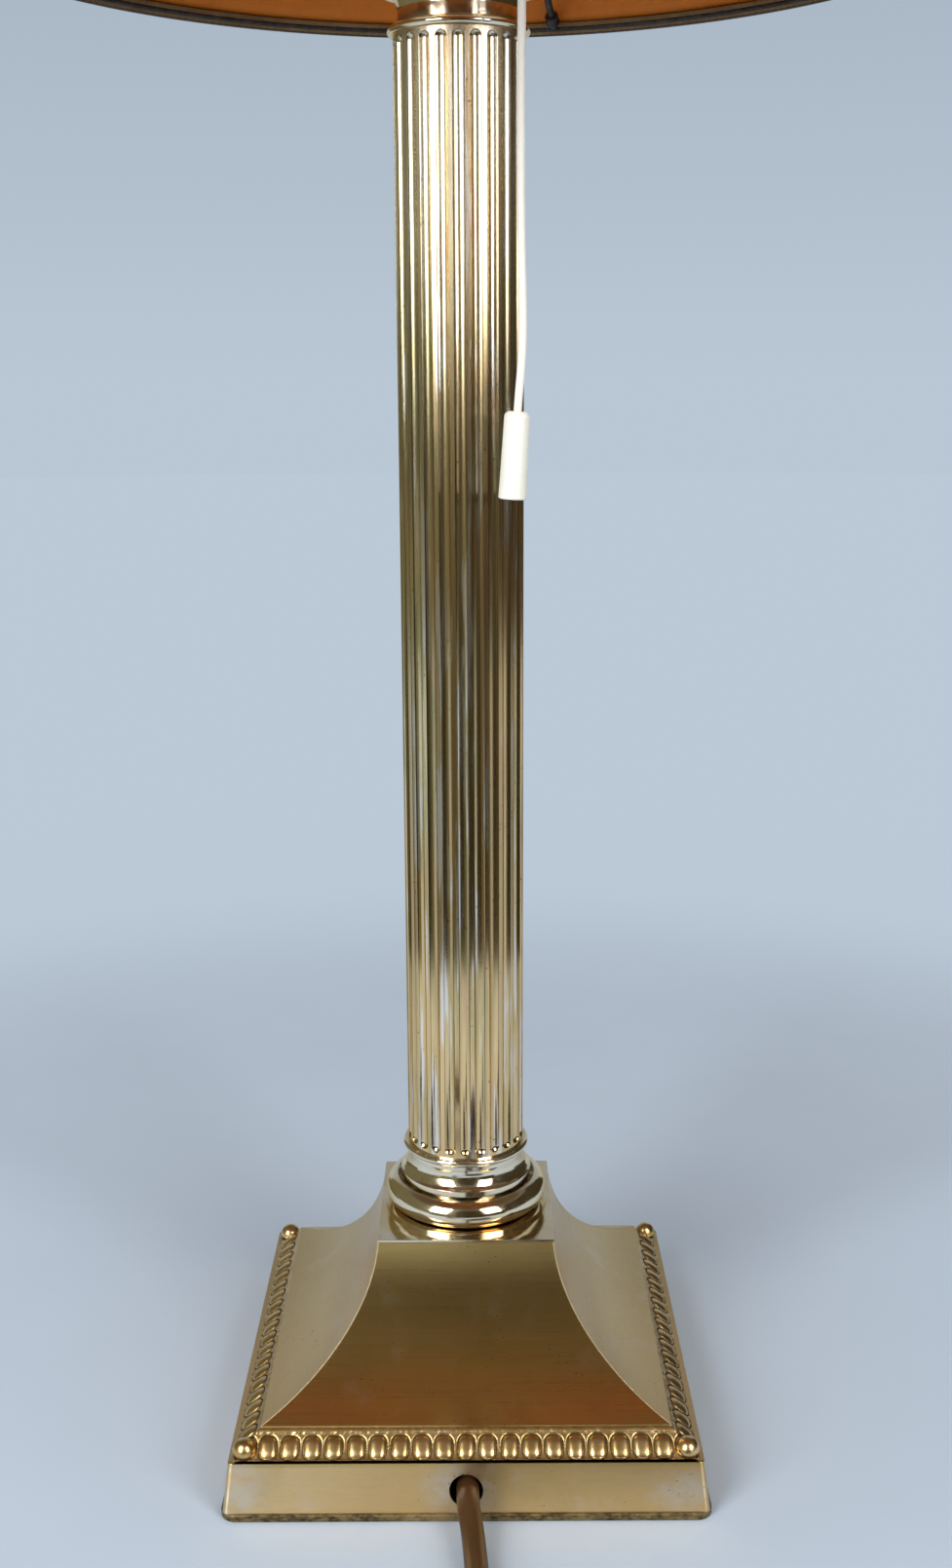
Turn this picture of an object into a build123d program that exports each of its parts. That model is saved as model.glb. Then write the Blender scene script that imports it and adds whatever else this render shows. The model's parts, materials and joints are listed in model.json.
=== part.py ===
from build123d import *
import math
import os

# Column table lamp: a fluted column on a square stepped foot, a pull-cord lampholder and a round shade.
# Millimetres. The origin is the middle of the foot on the table, +Z is up, and the mains cord leaves
# through the foot's front, towards -Y.

os.makedirs("parts", exist_ok=True)

# ---------------------------------------------------------------- clearances
PRESS = 0.05            # between fixed pieces that nest
RUNNING = 0.3           # round a piece that moves

# ---------------------------------------------------------------- foot
TRAY_HALF = 76.2        # half width of the bottom tray, the widest part of the foot
TRAY_CORNER = 5.0
TRAY_FLOOR = 0.3        # the felt lifts the tray this far off the table
TRAY_THICK = 2.2
TRAY_RIM = 5.0          # bare rim round the felt's recess
TRAY_EDGE = 0.5         # rounding of the tray's upper edge
FELT_RECESS = 0.7
TRAY_SCREW = 1.6        # shank radii
BALLAST_SCREW = 2.0
SCREW_HEAD = 1.2        # countersink depth
SCREW_ROOM = 0.5        # hole beyond the screw's tip

PLINTH_LEDGE = 0.8      # tray left bare round the plinth
PLINTH_BATTER = 1.9     # how far the plinth draws in by its top
PLINTH_HEIGHT = 16.2
PLINTH_CORNER = 1.6
PLINTH_WALL = 1.3
PLINTH_SHELF = 17.5     # width of the plinth's top, round its opening
LUG = 12.0              # square corner lug that takes a tray screw
LUG_HEIGHT = 10.0
LUG_INSET = 1.5         # the screw stands this far inside the lug's middle at the wall
LUG_COVER = 2.5         # lug left solid above the screw
CORD_HOLE_PLAY = 1.65   # the cord lies in a larger plain hole
CORD_HOLE_HEIGHT = 9.8

BORDER_LEDGE = 1.3      # plinth top left bare round the bead border
BORDER_DEPTH = 8.1
BORDER_HEIGHT = 6.3
BORDER_LIP = 0.9        # fillet along the border's foot and head
BORDER_DISH = 1.1       # hollow between the fillets
BEAD_WIDTH = 5.3
BEAD_LENGTH = 7.0
BEAD_PROUD = 0.7        # above the line from fillet to fillet
BEAD_SPACES = 20        # along each side, from corner bead to corner bead
CORNER_BEAD = 6.6
CORNER_BEAD_OUT = 0.5   # beyond the rows' seats
CORNER_BEAD_SINK = 0.8  # below the rows' middle

PYRAMID_SKIRT = 6.9     # upright skirt behind the bead border
PYRAMID_RISE = 43.6     # from the skirt to the top
PYRAMID_SWEEP = 49.6    # radius of the concave sides
PYRAMID_WALL = 1.2
PLATE_THICK = 0.7       # polished plate on the pyramid's top
PLATE_MARGIN = 1.6      # beyond the column's base

BALLAST_MARGIN = 2.0    # between the weight and the plinth's opening
BALLAST_HEIGHT = 14.0
BALLAST_CORNER = 4.0
BALLAST_WELL = 16.0     # radius of the well where the cord turns up
BALLAST_SPREAD = 0.74   # its screws' places, of its half width
BALLAST_COVER = 3.0     # weight left solid above its screws
CHANNEL_PLAY = 3.65     # each side of the cord
CHANNEL_FLOOR = 1.0     # below the cord
ANCHOR_PLACE = 40.0     # distance of the cord's saddle from the middle
ANCHOR_LENGTH = 10.0
ANCHOR_COVER = 2.2      # saddle above the cord

# ---------------------------------------------------------------- column
COLUMN_RADIUS = 19.35
COLUMN_WALL = 2.4
COLUMN_LENGTH = 346.4
FLUTES = 24
FLUTE_CUTTER = 2.35
FLUTE_DEPTH = 0.95
FLUTE_END = 0.7         # plain band left at each end
SPIGOT = 8.0            # locates the column on its base and capital
SPIGOT_WALL = 2.2

FLANGE_PROUD = 7.85     # beyond the column's surface
FLANGE_THICK = 1.1
TORUS_PROUD = 7.65
TORUS_THICK = 9.9
TORUS_BULGE = 4.55      # of its rounded edge
FILLET_PROUD = 2.55
FILLET_THICK = 2.4
FILLET_BEVEL = (0.8, 0.5)  # in and up
BASE_NECK_PROUD = 0.1   # neck between fillet and ring, beyond the column's surface
BASE_HOLLOW = 0.9       # hollow from the fillet to the neck
BASE_HOLLOW_STOP = 1.6  # the hollow ends this far below the ring
BASE_FLOOR = 6.0        # solid floor below the spigot's bore
BASE_HEIGHT = 24.0
RING_PROUD = 1.65       # bead at both ends of the column
RING_THICK = 2.2
RING_BULGE = 0.7        # of its rounded edge
RING_GAP = 0.4          # lower ring to the column's end

NECK_IN = 1.45          # the capital's neck lies inside the column's surface
NECK_LENGTH = 4.4
NECK_BEVEL = 0.7        # between the ring and the neck
FLARE = 5.4             # radius of the quarter hollow above the neck
FLARE_LIP = 0.6         # step above the flare: out and up
FLARE_LIP_THICK = 1.4
ECHINUS_OUT = 4.3       # beyond the flare
ECHINUS_RIM = 1.6       # upright edge above its rounding
ECHINUS_BULGE = 1.2
CAPITAL_FLOOR = 1.0     # cone under the bore's ceiling
CAPITAL_HEIGHT = 18.0
ABACUS_OUT = 1.2        # beyond the capital
ABACUS_THICK = 4.5
ABACUS_CHAMFER = 0.8

CUP_RADIUS = 20.0       # turned cup between the abacus and the lampholder
CUP_WAIST = 3.5         # beyond the tie tube
CUP_HEIGHT = 19.0
CUP_RIM = 1.6           # upright edge on the abacus
CUP_PROFILE = [         # beyond the waist, up from the abacus, and the bulge of an arc to there
    (1.0, 11.0, 2.6),
    (1.0, 12.5),
    (3.4, 14.6, -0.7),
    (1.4, 16.8, -0.7),
    (0.0, 16.8),
]

# ---------------------------------------------------------------- tie tube and its fasteners
TIE_RADIUS = 5.0
TIE_WALL = 1.0
NUT_FLATS = 14.0
NUT_THICK = 5.0
LOCKNUT_THICK = 3.0
CLAMP_HALF = 20.0       # square washer under the pyramid's top
CLAMP_THICK = 3.0
CLAMP_CORNER = 2.0
TIE_BELOW_NUT = 4.0
TIE_ABOVE_NUT = 5.0

# ---------------------------------------------------------------- lampholder
HOLDER_RADIUS = 20.3
HOLDER_WALL = 1.0
HOLDER_NECK = 8.0
HOLDER_CAP_HEIGHT = 14.0
HOLDER_CAP_FOOT = 2.5   # upright collar on the locknut
HOLDER_CAP_BULGE = 2.4
HOLDER_LAP = 3.0        # the shell slides this far over the cap
SWITCH_HEIGHT = 22.0
TERMINAL_HEIGHT = 14.0
SCREW_SHELL_BORE = 13.35
SCREW_SHELL_WALL = 0.5
SCREW_SHELL_RISE = 0.8  # above the terminal block
SKIRT_RADIUS = 19.9     # outside of the skirt's thread
SKIRT_HEIGHT = 25.0     # above its flange
SKIRT_LIP = 1.5
SKIRT_FLANGE = 3.3      # beyond the thread
SKIRT_FLANGE_THICK = 2.5
THREAD_PITCH = 3.0
THREAD_DEPTH = 0.6
THREAD_CUTTER = 1.1     # radius of the rings that cut the thread's grooves
THREAD_START = 1.3      # first groove above the flange, in pitches
CONTACT_RISE = 4.6      # of the bulb's tip above the terminal block
CONTACT_THICK = 0.5
CONTACT_WIDTH = 5.0
CONTACT_FOOT = (-6.0, -3.0)  # the strip lies on the block between these places
CONTACT_HEAD = (2.5, 5.5)    # and under the bulb's tip between these
CONTACT_BOW = 0.4       # of the slope between them
CONTACT_SHIFT = 0.3     # of the slope's upper face, towards the foot

# ---------------------------------------------------------------- pull switch
PULL_SIDE = 17.5        # sideways place of the pull cord
PULL_CLEARANCE = 2.0    # between the cord and the abacus
PULL_CORD = 2.4
PULL_KNOT = 4.6
KNOT_TAIL = 0.6
KNOT_SEAT = 2.0         # knot's middle above the lever
LEVER_SWING = 10.0      # degrees, half of it above level at rest
LEVER_PIVOT = 8.0       # distance of the pivot from the lamp's axis
LEVER_HEIGHT = 12.0     # pivot above the switch body's underside
LEVER_WIDTH = 5.6
LEVER_THICK = 1.8
LEVER_TAIL = 4.0
LEVER_BOSS = 1.3        # wall round the pivot
LEVER_EYE = 2.2         # wall round the cord's eye
EYE_PLAY = 0.5
SLOT_PLAY = 0.5         # each side of the lever
SLOT_SHELL_PLAY = 0.8   # each side, in the outer shell
SLOT_RISE = 1.2         # above and below the lever's swing
PIN_RADIUS = 1.5
PIN_LENGTH = 19.6
PIN_ROOM = 0.4          # hole longer than the pin
ROTOR_PLACE = -1.0      # axle's place along the lever
ROTOR_RADIUS = 4.6
ROTOR_LOBES = 8
ROTOR_NOTCH = 1.1
ROTOR_NOTCH_OUT = 0.4   # notches' middles beyond the wheel's edge
ROTOR_ROOM = 0.8        # chamber round the wheel
ROTOR_WIDTH = 4.4
AXLE_RADIUS = 1.2
KNOB_LENGTH = 25.1
KNOB_TOP = 3.75         # radii of the tapered pull knob
KNOB_FOOT = 4.1
KNOB_DOME = 1.6
KNOB_DOME_BULGE = 0.45
KNOB_FOOT_BEVEL = 0.4
KNOB_BORE_PLAY = 0.25
KNOB_CEILING = 4.4      # solid top above the cavity
KNOB_CAVITY = 2.6
KNOB_DROP = 2.3         # the knob starts this far below the cord's last corner
PULL_ROUTE = [          # sideways and up from the lever's eye, from the upper knot into the knob
    (0.0, 5.8),
    (0.1, -29.8),
    (0.12, -69.6),
    (-0.14, -101.3),
    (0.0, -129.3),
    (0.6, -152.3),
    (0.35, -164.8),
    (-0.85, -177.1),
    (-1.58, -189.4),
]

# ---------------------------------------------------------------- shade
SHADE_RADIUS = 157.4    # outside of the bottom rim
SHADE_TOP_RADIUS = 96.0
SHADE_HEIGHT = 206.0
SHADE_CLEARANCE = 5.2   # rim's lowest edge above the abacus
COVER_THICK = 0.8
LINING_THICK = 0.4
TRIM_HEIGHT = 4.4
TOP_TRIM_HEIGHT = 5.4
TRIM_WALL = 0.9
TRIM_BEVEL = 0.4        # along the rim's edges
WIRE_RADIUS = 1.25
ARMS = 3
ARM_BEARING = 77.0
FITTER_WIDTH = 6.3
FITTER_THICK = 2.0
ARM_ROOT = 1.5          # arm's axis starts this far inside the fitter's edge
FERRULE_RADIUS = 2.5
FERRULE_LENGTH = 4.6
FERRULE_ROUND = 0.9
FERRULE_GAP = 0.45      # to the binding
SHADE_NUT_WIDTH = 6.1
SHADE_NUT_HEIGHT = 7.0
NUT_GRIPS = 24
NUT_GRIP = 1.0

# ---------------------------------------------------------------- bulb
BULB_PLAY = 0.3         # cap in the screw shell
BULB_CAP_WALL = 1.4
BULB_CAP_INSULATOR = 3.2  # height of the black glass cone
BULB_CAP_FLOOR = 2.0
BULB_TIP_THICK = 1.0
BULB_CAP_HEIGHT = 25.0
BULB_THREAD_PITCH = 3.6
BULB_THREADS = 5
BULB_THREAD_START = 2.4 # first groove above the insulator
BULB_THREAD_OUT = 1.1   # cutting ring's middle beyond the cap
BULB_THREAD_CUTTER = 1.9
BULB_TIP = 4.4
BULB_RADIUS = 30.0
BULB_LENGTH = 104.0
BULB_SHOULDER = 0.72    # the neck joins the globe this share of its radius below its middle
BULB_SOCKET = 4.0       # glass held in the cap
BULB_NECK = 9.0         # straight neck
BULB_NECK_BOW = 1.2     # hollow from the neck to the globe
GLASS_THICK = 0.9

# ---------------------------------------------------------------- conductors inside the lamp
CORE = 2.0
CORE_RING = 1.6         # radius on which the three lie in the tube
CORE_REACH = 12.5       # radius at which they pass the switch body
CORE_PLAY = 0.3
CORE_BEND = 4.0
CORE_LEAVE = 1.0        # lower bend above the tie tube
CORE_ARRIVE = 2.9       # upper bend below the switch body
CORE_TAIL = 8.0         # length in the terminal block
CORE_TURNS = (120, 180, 240)  # their bearings from the lever's, spread twice as far in the tube
SHEATH_BEND = 20.0
SHEATH_END = 6.0        # below the tie tube
TERMINAL_SCREW = 1.25
TERMINAL_HEAD = 2.2
TERMINAL_HEAD_PLAY = 0.2
TERMINAL_SINK = 2.2     # seat of the head below the block's surface
TERMINAL_CROWN = 0.6    # top of the head below the block's surface
TERMINAL_SLOT = (1.0, 5.0, 0.6)
TERMINAL_ROOM = 0.5     # conductor's hole beyond its end
TERMINAL_HEIGHT_UP = 5.5  # screws above the block's underside

# ---------------------------------------------------------------- mains cord
CORD = 7.1
FREE_ROUTE = [          # sideways, out from the plinth's foot and up, from inside the hole
    (0.5, -1.4, 9.3),
    (0.5, 4.6, 9.3),
    (1.9, 12.6, 6.2),
    (2.9, 23.6, 4.4),
    (3.7, 37.6, 4.3),
    (4.3, 55.6, 4.7),
]
COIL_SIDE = 4.2         # sideways place of the cord where it enters the coil
COIL_APPROACH = 33.0    # level run up to the coil's first turn
COIL_OUT = 114.6        # coil's middle out from the plinth's foot
COIL_TURNS = 6
COIL_MEAN_RADIUS = 42.4
COIL_TURN_GAP = 0.5
STRAP_THICK = 1.0       # strap round the put-away coil
STRAP_WIDTH = 12.0
STRAP_GAP = 0.2
STRAP_ROUND = 2.0
LEAD_ROUTE = [          # from the coil's end: sideways, away, share of the rise to the plug's axis
    (0.0, -15.0, 0.0),
    (-5.7, -28.9, 0.1),
    (-16.3, -39.5, 0.5),
    (-30.2, -45.2, 1.0),
    (-45.2, -45.2, 1.0),
]
BOOT_LENGTH = 26.0
BOOT_TIP = 1.35         # boot's wall at its tip
BOOT_BELL = 6.6
BOOT_RIBS = 5
BOOT_RIB_START = 4.0
BOOT_PLAIN = 5.0        # length without ribs, both ends together
BOOT_WAIST = 0.7        # depth of the grooves
PLUG_RADIUS = 18.4
PLUG_FLAT = 17.0        # half height over the earth contacts, on which the plug lies
PLUG_GRIP = 9.5
PLUG_COLLAR = (1.4, 3.0, 0.4)    # out, along and bulge of the grip's rounded start
PLUG_FLARE = (1.5, 1.8)          # short of the full radius, and hollow of the grip
PLUG_SHOULDER = (1.4, 0.3)       # along and bulge from the grip to the full radius
PLUG_EDGE = (0.8, 0.2)           # size and bulge of the face's rounded edge
PLUG_LENGTH = 35.0
PLUG_RIM = 9.0
PLUG_PIN = 2.4
PLUG_PIN_LENGTH = 19.0
PLUG_PIN_SPACING = 19.0
PLUG_PIN_ROOT = 8.0     # thinner root held in the body
PLUG_PIN_STEM = 2.0
PLUG_PIN_CHAMFER = 1.0
EARTH_WIDTH = 8.0
EARTH_DEPTH = 1.0
EARTH_LENGTH = 13.0

# ---------------------------------------------------------------- sizes and heights that follow
cord_radius = CORD / 2
tray_top = TRAY_FLOOR + TRAY_THICK
recess_top = TRAY_FLOOR + FELT_RECESS
recess_half = TRAY_HALF - TRAY_RIM
plinth_low_half = TRAY_HALF - PLINTH_LEDGE
plinth_high_half = plinth_low_half - PLINTH_BATTER
opening_half = plinth_high_half - PLINTH_SHELF
plinth_top = tray_top + PLINTH_HEIGHT
border_half = plinth_high_half - BORDER_LEDGE
pyramid_half = border_half - BORDER_DEPTH - PRESS
pyramid_foot = plinth_top + PYRAMID_SKIRT
pyramid_top = pyramid_foot + PYRAMID_RISE
flange_radius = COLUMN_RADIUS + FLANGE_PROUD
plate_half = flange_radius + PLATE_MARGIN
plate_top = pyramid_top + PLATE_THICK
ballast_half = opening_half - BALLAST_MARGIN
ring_radius = COLUMN_RADIUS + RING_PROUD
spigot_radius = COLUMN_RADIUS - COLUMN_WALL - PRESS
column_low = plate_top + BASE_HEIGHT
column_high = column_low + COLUMN_LENGTH
capital_top = column_high + CAPITAL_HEIGHT
abacus_top = capital_top + ABACUS_THICK
neck_radius = COLUMN_RADIUS - NECK_IN
echinus_radius = neck_radius + FLARE + ECHINUS_OUT
abacus_half = echinus_radius + ABACUS_OUT
tie_hole = TIE_RADIUS + PRESS
waist_radius = TIE_RADIUS + CUP_WAIST
cup_top = abacus_top + CUP_HEIGHT
clamp_low = pyramid_top - PYRAMID_WALL - CLAMP_THICK
tie_low = clamp_low - NUT_THICK - TIE_BELOW_NUT
holder_low = cup_top + LOCKNUT_THICK
tie_high = holder_low + TIE_ABOVE_NUT
switch_low = holder_low + HOLDER_CAP_HEIGHT
switch_high = switch_low + SWITCH_HEIGHT
terminal_high = switch_high + TERMINAL_HEIGHT
insert_radius = HOLDER_RADIUS - HOLDER_WALL - 2 * PRESS
flange_top = terminal_high + SKIRT_FLANGE_THICK
skirt_top = flange_top + SKIRT_HEIGHT
bulb_low = terminal_high + CONTACT_RISE
cap_radius = SCREW_SHELL_BORE - BULB_PLAY
cap_bore = cap_radius - BULB_CAP_WALL
bulb_neck = cap_bore - PRESS
lever_height = switch_low + LEVER_HEIGHT
pull_away = abacus_half + PULL_CLEARANCE + PULL_CORD / 2
eye_reach = math.hypot(PULL_SIDE, pull_away)
eye_bearing = math.degrees(math.atan2(-pull_away, PULL_SIDE))
lever_run = eye_reach - LEVER_PIVOT
eye_height = lever_height + lever_run * math.tan(math.radians(LEVER_SWING / 2))
fitter_low = flange_top + RUNNING
fitter_high = fitter_low + FITTER_THICK
fitter_radius = SKIRT_RADIUS + RUNNING + FITTER_WIDTH
rim_low = abacus_top + SHADE_CLEARANCE
shade_top = rim_low + SHADE_HEIGHT
shade_slope = (SHADE_RADIUS - SHADE_TOP_RADIUS) / SHADE_HEIGHT
wire_depth = (WIRE_RADIUS + PRESS) * math.hypot(1, shade_slope)
skin_edge = TRIM_WALL + 2 * WIRE_RADIUS + 3 * PRESS
plug_face = BOOT_LENGTH + PLUG_LENGTH
TOP = (Align.CENTER, Align.CENTER, Align.MIN)


# ---------------------------------------------------------------- helpers
def outline(start, *steps):
    """Closed face in the XZ plane. A step is (x, z), or (x, z, rise) for an arc that rises left of its run."""
    edges = []
    here = start
    for step in list(steps) + [start]:
        a = Vector(here[0], 0, here[1])
        b = Vector(step[0], 0, step[1])
        if len(step) == 3:
            run = b - a
            left = Vector(-run.Z, 0, run.X) * (step[2] / run.length)
            edges.append(ThreePointArc(a, (a + b) * 0.5 + left, b))
        else:
            edges.append(Line(a, b))
        here = step[:2]
    return Face(Wire(edges))


def turned(start, *steps):
    """Solid of revolution about Z of such an outline, with x read as the radius."""
    return revolve(outline(start, *steps), Axis.Z, 360)


def arc_rise(radius, chord):
    return radius - math.sqrt(radius ** 2 - chord ** 2 / 4)


def disc(radius, low, high):
    return Pos(0, 0, low) * Cylinder(radius, high - low, align=TOP)


def sleeve(outer, inner, low, high):
    return disc(outer, low, high) - disc(inner, low - 1, high + 1)


def slab(half, low, high, corner=0.0):
    """Square block centred on Z, with rounded upright edges if a corner radius is given."""
    face = RectangleRounded(2 * half, 2 * half, corner) if corner else Rectangle(2 * half, 2 * half)
    return Pos(0, 0, low) * extrude(face, high - low)


def tapered_slab(half_low, half_high, low, high, corner):
    lower = Pos(0, 0, low) * RectangleRounded(2 * half_low, 2 * half_low, corner)
    upper = Pos(0, 0, high) * RectangleRounded(2 * half_high, 2 * half_high, corner)
    return loft([lower, upper], ruled=True)


def hexagon(low, high):
    nut = Pos(0, 0, low) * extrude(RegularPolygon(NUT_FLATS / 2, 6, major_radius=False), high - low)
    return nut - disc(tie_hole, low - 1, high + 1)


def cross_bar(x, radius, length):
    """Round bar along Y, at the lever's height."""
    return Pos(x, 0, lever_height) * Rot(90, 0, 0) * Cylinder(radius, length)


def rod(start, end, radius):
    a = Vector(*start)
    b = Vector(*end)
    return Plane(origin=a, z_dir=b - a) * Cylinder(radius, (b - a).length, align=TOP)


def group(solids):
    return Compound(children=list(solids))


def first_solid(shape):
    return shape.solids()[0]


def four_spots(reach):
    return [(sx * reach, sy * reach) for sx in (-1, 1) for sy in (-1, 1)]


def corner_radii(points):
    """Largest arc that each corner's two runs allow."""
    radii = []
    for before, here, after in zip(points, points[1:], points[2:]):
        run_in = Vector(*here) - Vector(*before)
        run_out = Vector(*after) - Vector(*here)
        half_turn = math.radians(run_in.get_angle(run_out)) / 2
        radii.append(0.45 * min(run_in.length, run_out.length) / math.tan(half_turn))
    return radii


def swept_tube(name, path, diameter):
    """Round tube along a path, with its volume compared with its section times its length."""
    section = Plane(origin=path @ 0, z_dir=path % 0) * Circle(diameter / 2)
    solid = first_solid(sweep(section, path=path))
    ideal = math.pi * diameter ** 2 / 4 * path.length
    print(name, "length", round(path.length, 1), "volume ratio", round(solid.volume / ideal, 4))
    return solid


def routed_tube(name, points, diameter):
    radii = corner_radii(points)
    print(name, "radii", [round(radius, 1) for radius in radii])
    return swept_tube(name, FilletPolyline(*points, radius=radii), diameter)


def biarc(start, start_way, end, end_way):
    """Two tangent arcs from one point and direction to another."""
    across = end - start
    along = across.dot(start_way + end_way)
    spread = 2 * (1 - start_way.dot(end_way))
    reach = (math.sqrt(along * along + spread * across.dot(across)) - along) / spread
    middle = (start + end + (start_way - end_way) * reach) * 0.5
    first = Edge.make_tangent_arc(start, start_way, middle)
    return [first, Edge.make_tangent_arc(middle, first % 1, end)]


# ---------------------------------------------------------------- foot
def countersunk(spot, radius, length, play=0.0):
    """Screw that goes up from the tray's recess, or with play its hole."""
    head = Cone(2 * radius + play, radius + play, SCREW_HEAD, align=TOP)
    shank = Cylinder(radius + play, length, align=TOP)
    return Pos(spot[0], spot[1], recess_top) * (head + shank)


def screws(spots, radius, length):
    slot = Pos(0, 0, recess_top) * Box(5 * radius, radius / 3, SCREW_HEAD)
    return group(countersunk(spot, radius, length) - Pos(*spot, 0) * slot for spot in spots)


def tray_screw_spots():
    return four_spots(plinth_low_half - PLINTH_WALL - LUG / 2 - LUG_INSET)


def ballast_screw_spots():
    return four_spots(ballast_half * BALLAST_SPREAD)


def tray_screw_length():
    return tray_top + LUG_HEIGHT - LUG_COVER - recess_top


def ballast_screw_length():
    return BALLAST_HEIGHT - BALLAST_COVER


def felt_pad():
    return slab(recess_half - PRESS, 0, recess_top, TRAY_CORNER)


def base_tray():
    body = slab(TRAY_HALF, TRAY_FLOOR, tray_top, TRAY_CORNER)
    body = fillet(body.edges().group_by(Axis.Z)[-1], TRAY_EDGE)
    body -= slab(recess_half, TRAY_FLOOR - 1, recess_top, TRAY_CORNER)
    holes = [countersunk(spot, TRAY_SCREW, TRAY_THICK + 2, PRESS) for spot in tray_screw_spots()]
    holes += [countersunk(spot, BALLAST_SCREW, TRAY_THICK + 2, PRESS) for spot in ballast_screw_spots()]
    return body.cut(*holes)


def plinth():
    outer = tapered_slab(plinth_low_half, plinth_high_half, tray_top, plinth_top, PLINTH_CORNER)
    hollow = tapered_slab(
        plinth_low_half - PLINTH_WALL, plinth_high_half - PLINTH_WALL,
        tray_top - PLINTH_WALL, plinth_top - PLINTH_WALL, PLINTH_CORNER
    )
    body = outer - hollow - slab(opening_half, plinth_top - 2 * PLINTH_WALL, plinth_top + 1)
    for x, y in tray_screw_spots():
        lug = Pos(0, 0, tray_top) * Box(LUG, LUG, LUG_HEIGHT, align=TOP)
        outward = Pos(x + math.copysign(LUG / 2, x), y + math.copysign(LUG / 2, y), 0)
        body += (Pos(x, y, 0) * lug + outward * lug) & outer
    depth = tray_screw_length() + SCREW_ROOM
    holes = [countersunk(spot, TRAY_SCREW, depth, PRESS) for spot in tray_screw_spots()]
    bore = Rot(90, 0, 0) * Cylinder(cord_radius + CORD_HOLE_PLAY, LUG)
    return body.cut(*holes, Pos(0, -plinth_low_half, CORD_HOLE_HEIGHT) * bore)


def channel_half():
    return cord_radius + CHANNEL_PLAY


def channel_floor():
    return FREE_ROUTE[0][2] - cord_radius - CHANNEL_FLOOR


def ballast():
    """Cast weight with a well in the middle and a channel for the cord from its front edge."""
    body = slab(ballast_half, tray_top, tray_top + BALLAST_HEIGHT, BALLAST_CORNER)
    body -= disc(BALLAST_WELL, tray_top - 1, tray_top + BALLAST_HEIGHT + 1)
    towards_front = (Align.CENTER, Align.MAX, Align.MIN)
    channel = Box(2 * channel_half(), 2 * ballast_half, 2 * BALLAST_HEIGHT, align=towards_front)
    body -= Pos(0, 0, channel_floor()) * channel
    depth = ballast_screw_length() + SCREW_ROOM
    holes = [countersunk(spot, BALLAST_SCREW, depth, PRESS) for spot in ballast_screw_spots()]
    return body.cut(*holes)


def cord_anchor():
    """Saddle that grips the sheath in the weight's channel."""
    low = channel_floor()
    high = FREE_ROUTE[0][2] + cord_radius + ANCHOR_COVER
    saddle = Box(2 * (channel_half() - PRESS), ANCHOR_LENGTH, high - low, align=TOP)
    bore = Pos(FREE_ROUTE[0][0], -ANCHOR_PLACE, FREE_ROUTE[0][2]) * Rot(90, 0, 0)
    return Pos(0, -ANCHOR_PLACE, low) * saddle - bore * Cylinder(cord_radius + PRESS, 2 * ANCHOR_LENGTH)


def bead():
    """Oval boss standing on Z: a short round bar with domed ends."""
    radius = BEAD_WIDTH / 2
    straight = (BEAD_LENGTH - BEAD_WIDTH) / 2
    dome = -radius * (1 - math.sqrt(0.5))
    return turned(
        (0, -BEAD_LENGTH / 2), (radius, -straight, dome), (radius, straight), (0, BEAD_LENGTH / 2, dome)
    )


def bead_border():
    """Square band on the plinth with a row of oval bosses up its slope and a round one at each corner."""
    inner = pyramid_half + PRESS
    high = plinth_top + BORDER_HEIGHT
    low_edge = (border_half - BORDER_LIP * 0.7, plinth_top + BORDER_LIP)
    high_edge = (inner + BORDER_LIP, high - BORDER_LIP * 0.6)
    rail = outline(
        (0, plinth_top), (border_half, plinth_top), (border_half, low_edge[1]), low_edge,
        (high_edge[0], high_edge[1], BORDER_DISH), (high_edge[0], high), (0, high)
    )
    half = extrude(rail, border_half + 5, dir=(0, 1, 0), both=True)
    whole = half + Rot(0, 0, 180) * half
    band = (whole & (Rot(0, 0, 90) * whole)) - slab(inner, plinth_top - 1, high + 1)
    middle = ((low_edge[0] + high_edge[0]) / 2, (low_edge[1] + high_edge[1]) / 2)
    slope = math.atan2(high_edge[1] - low_edge[1], low_edge[0] - high_edge[0])
    sink = BEAD_WIDTH / 2 - BEAD_PROUD
    seat = (middle[0] - sink * math.sin(slope), middle[1] - sink * math.cos(slope))
    leaning = Rot(0, math.degrees(slope) - 90, 0) * bead()
    pitch = 2 * middle[0] / BEAD_SPACES
    side = [Pos(seat[0], i * pitch - middle[0], seat[1]) * leaning for i in range(1, BEAD_SPACES)]
    out = seat[0] + CORNER_BEAD_OUT
    corner = Pos(out, out, middle[1] - CORNER_BEAD_SINK) * Sphere(CORNER_BEAD / 2)
    beads = [Rot(0, 0, 90 * k) * piece for k in range(4) for piece in side + [corner]]
    room = slab(border_half + 5, plinth_top, high + 5) - slab(inner, plinth_top - 1, high + 6)
    return band.fuse(*beads) & room


def sweep_centre():
    """Centre of the arc of the pyramid's concave sides, in the XZ plane."""
    run = (plate_half - pyramid_half, pyramid_top - pyramid_foot)
    chord = math.hypot(*run)
    height = math.sqrt(PYRAMID_SWEEP ** 2 - chord ** 2 / 4)
    x = (pyramid_half + plate_half) / 2 + height * run[1] / chord
    z = (pyramid_foot + pyramid_top) / 2 - height * run[0] / chord
    return x, z


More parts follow.
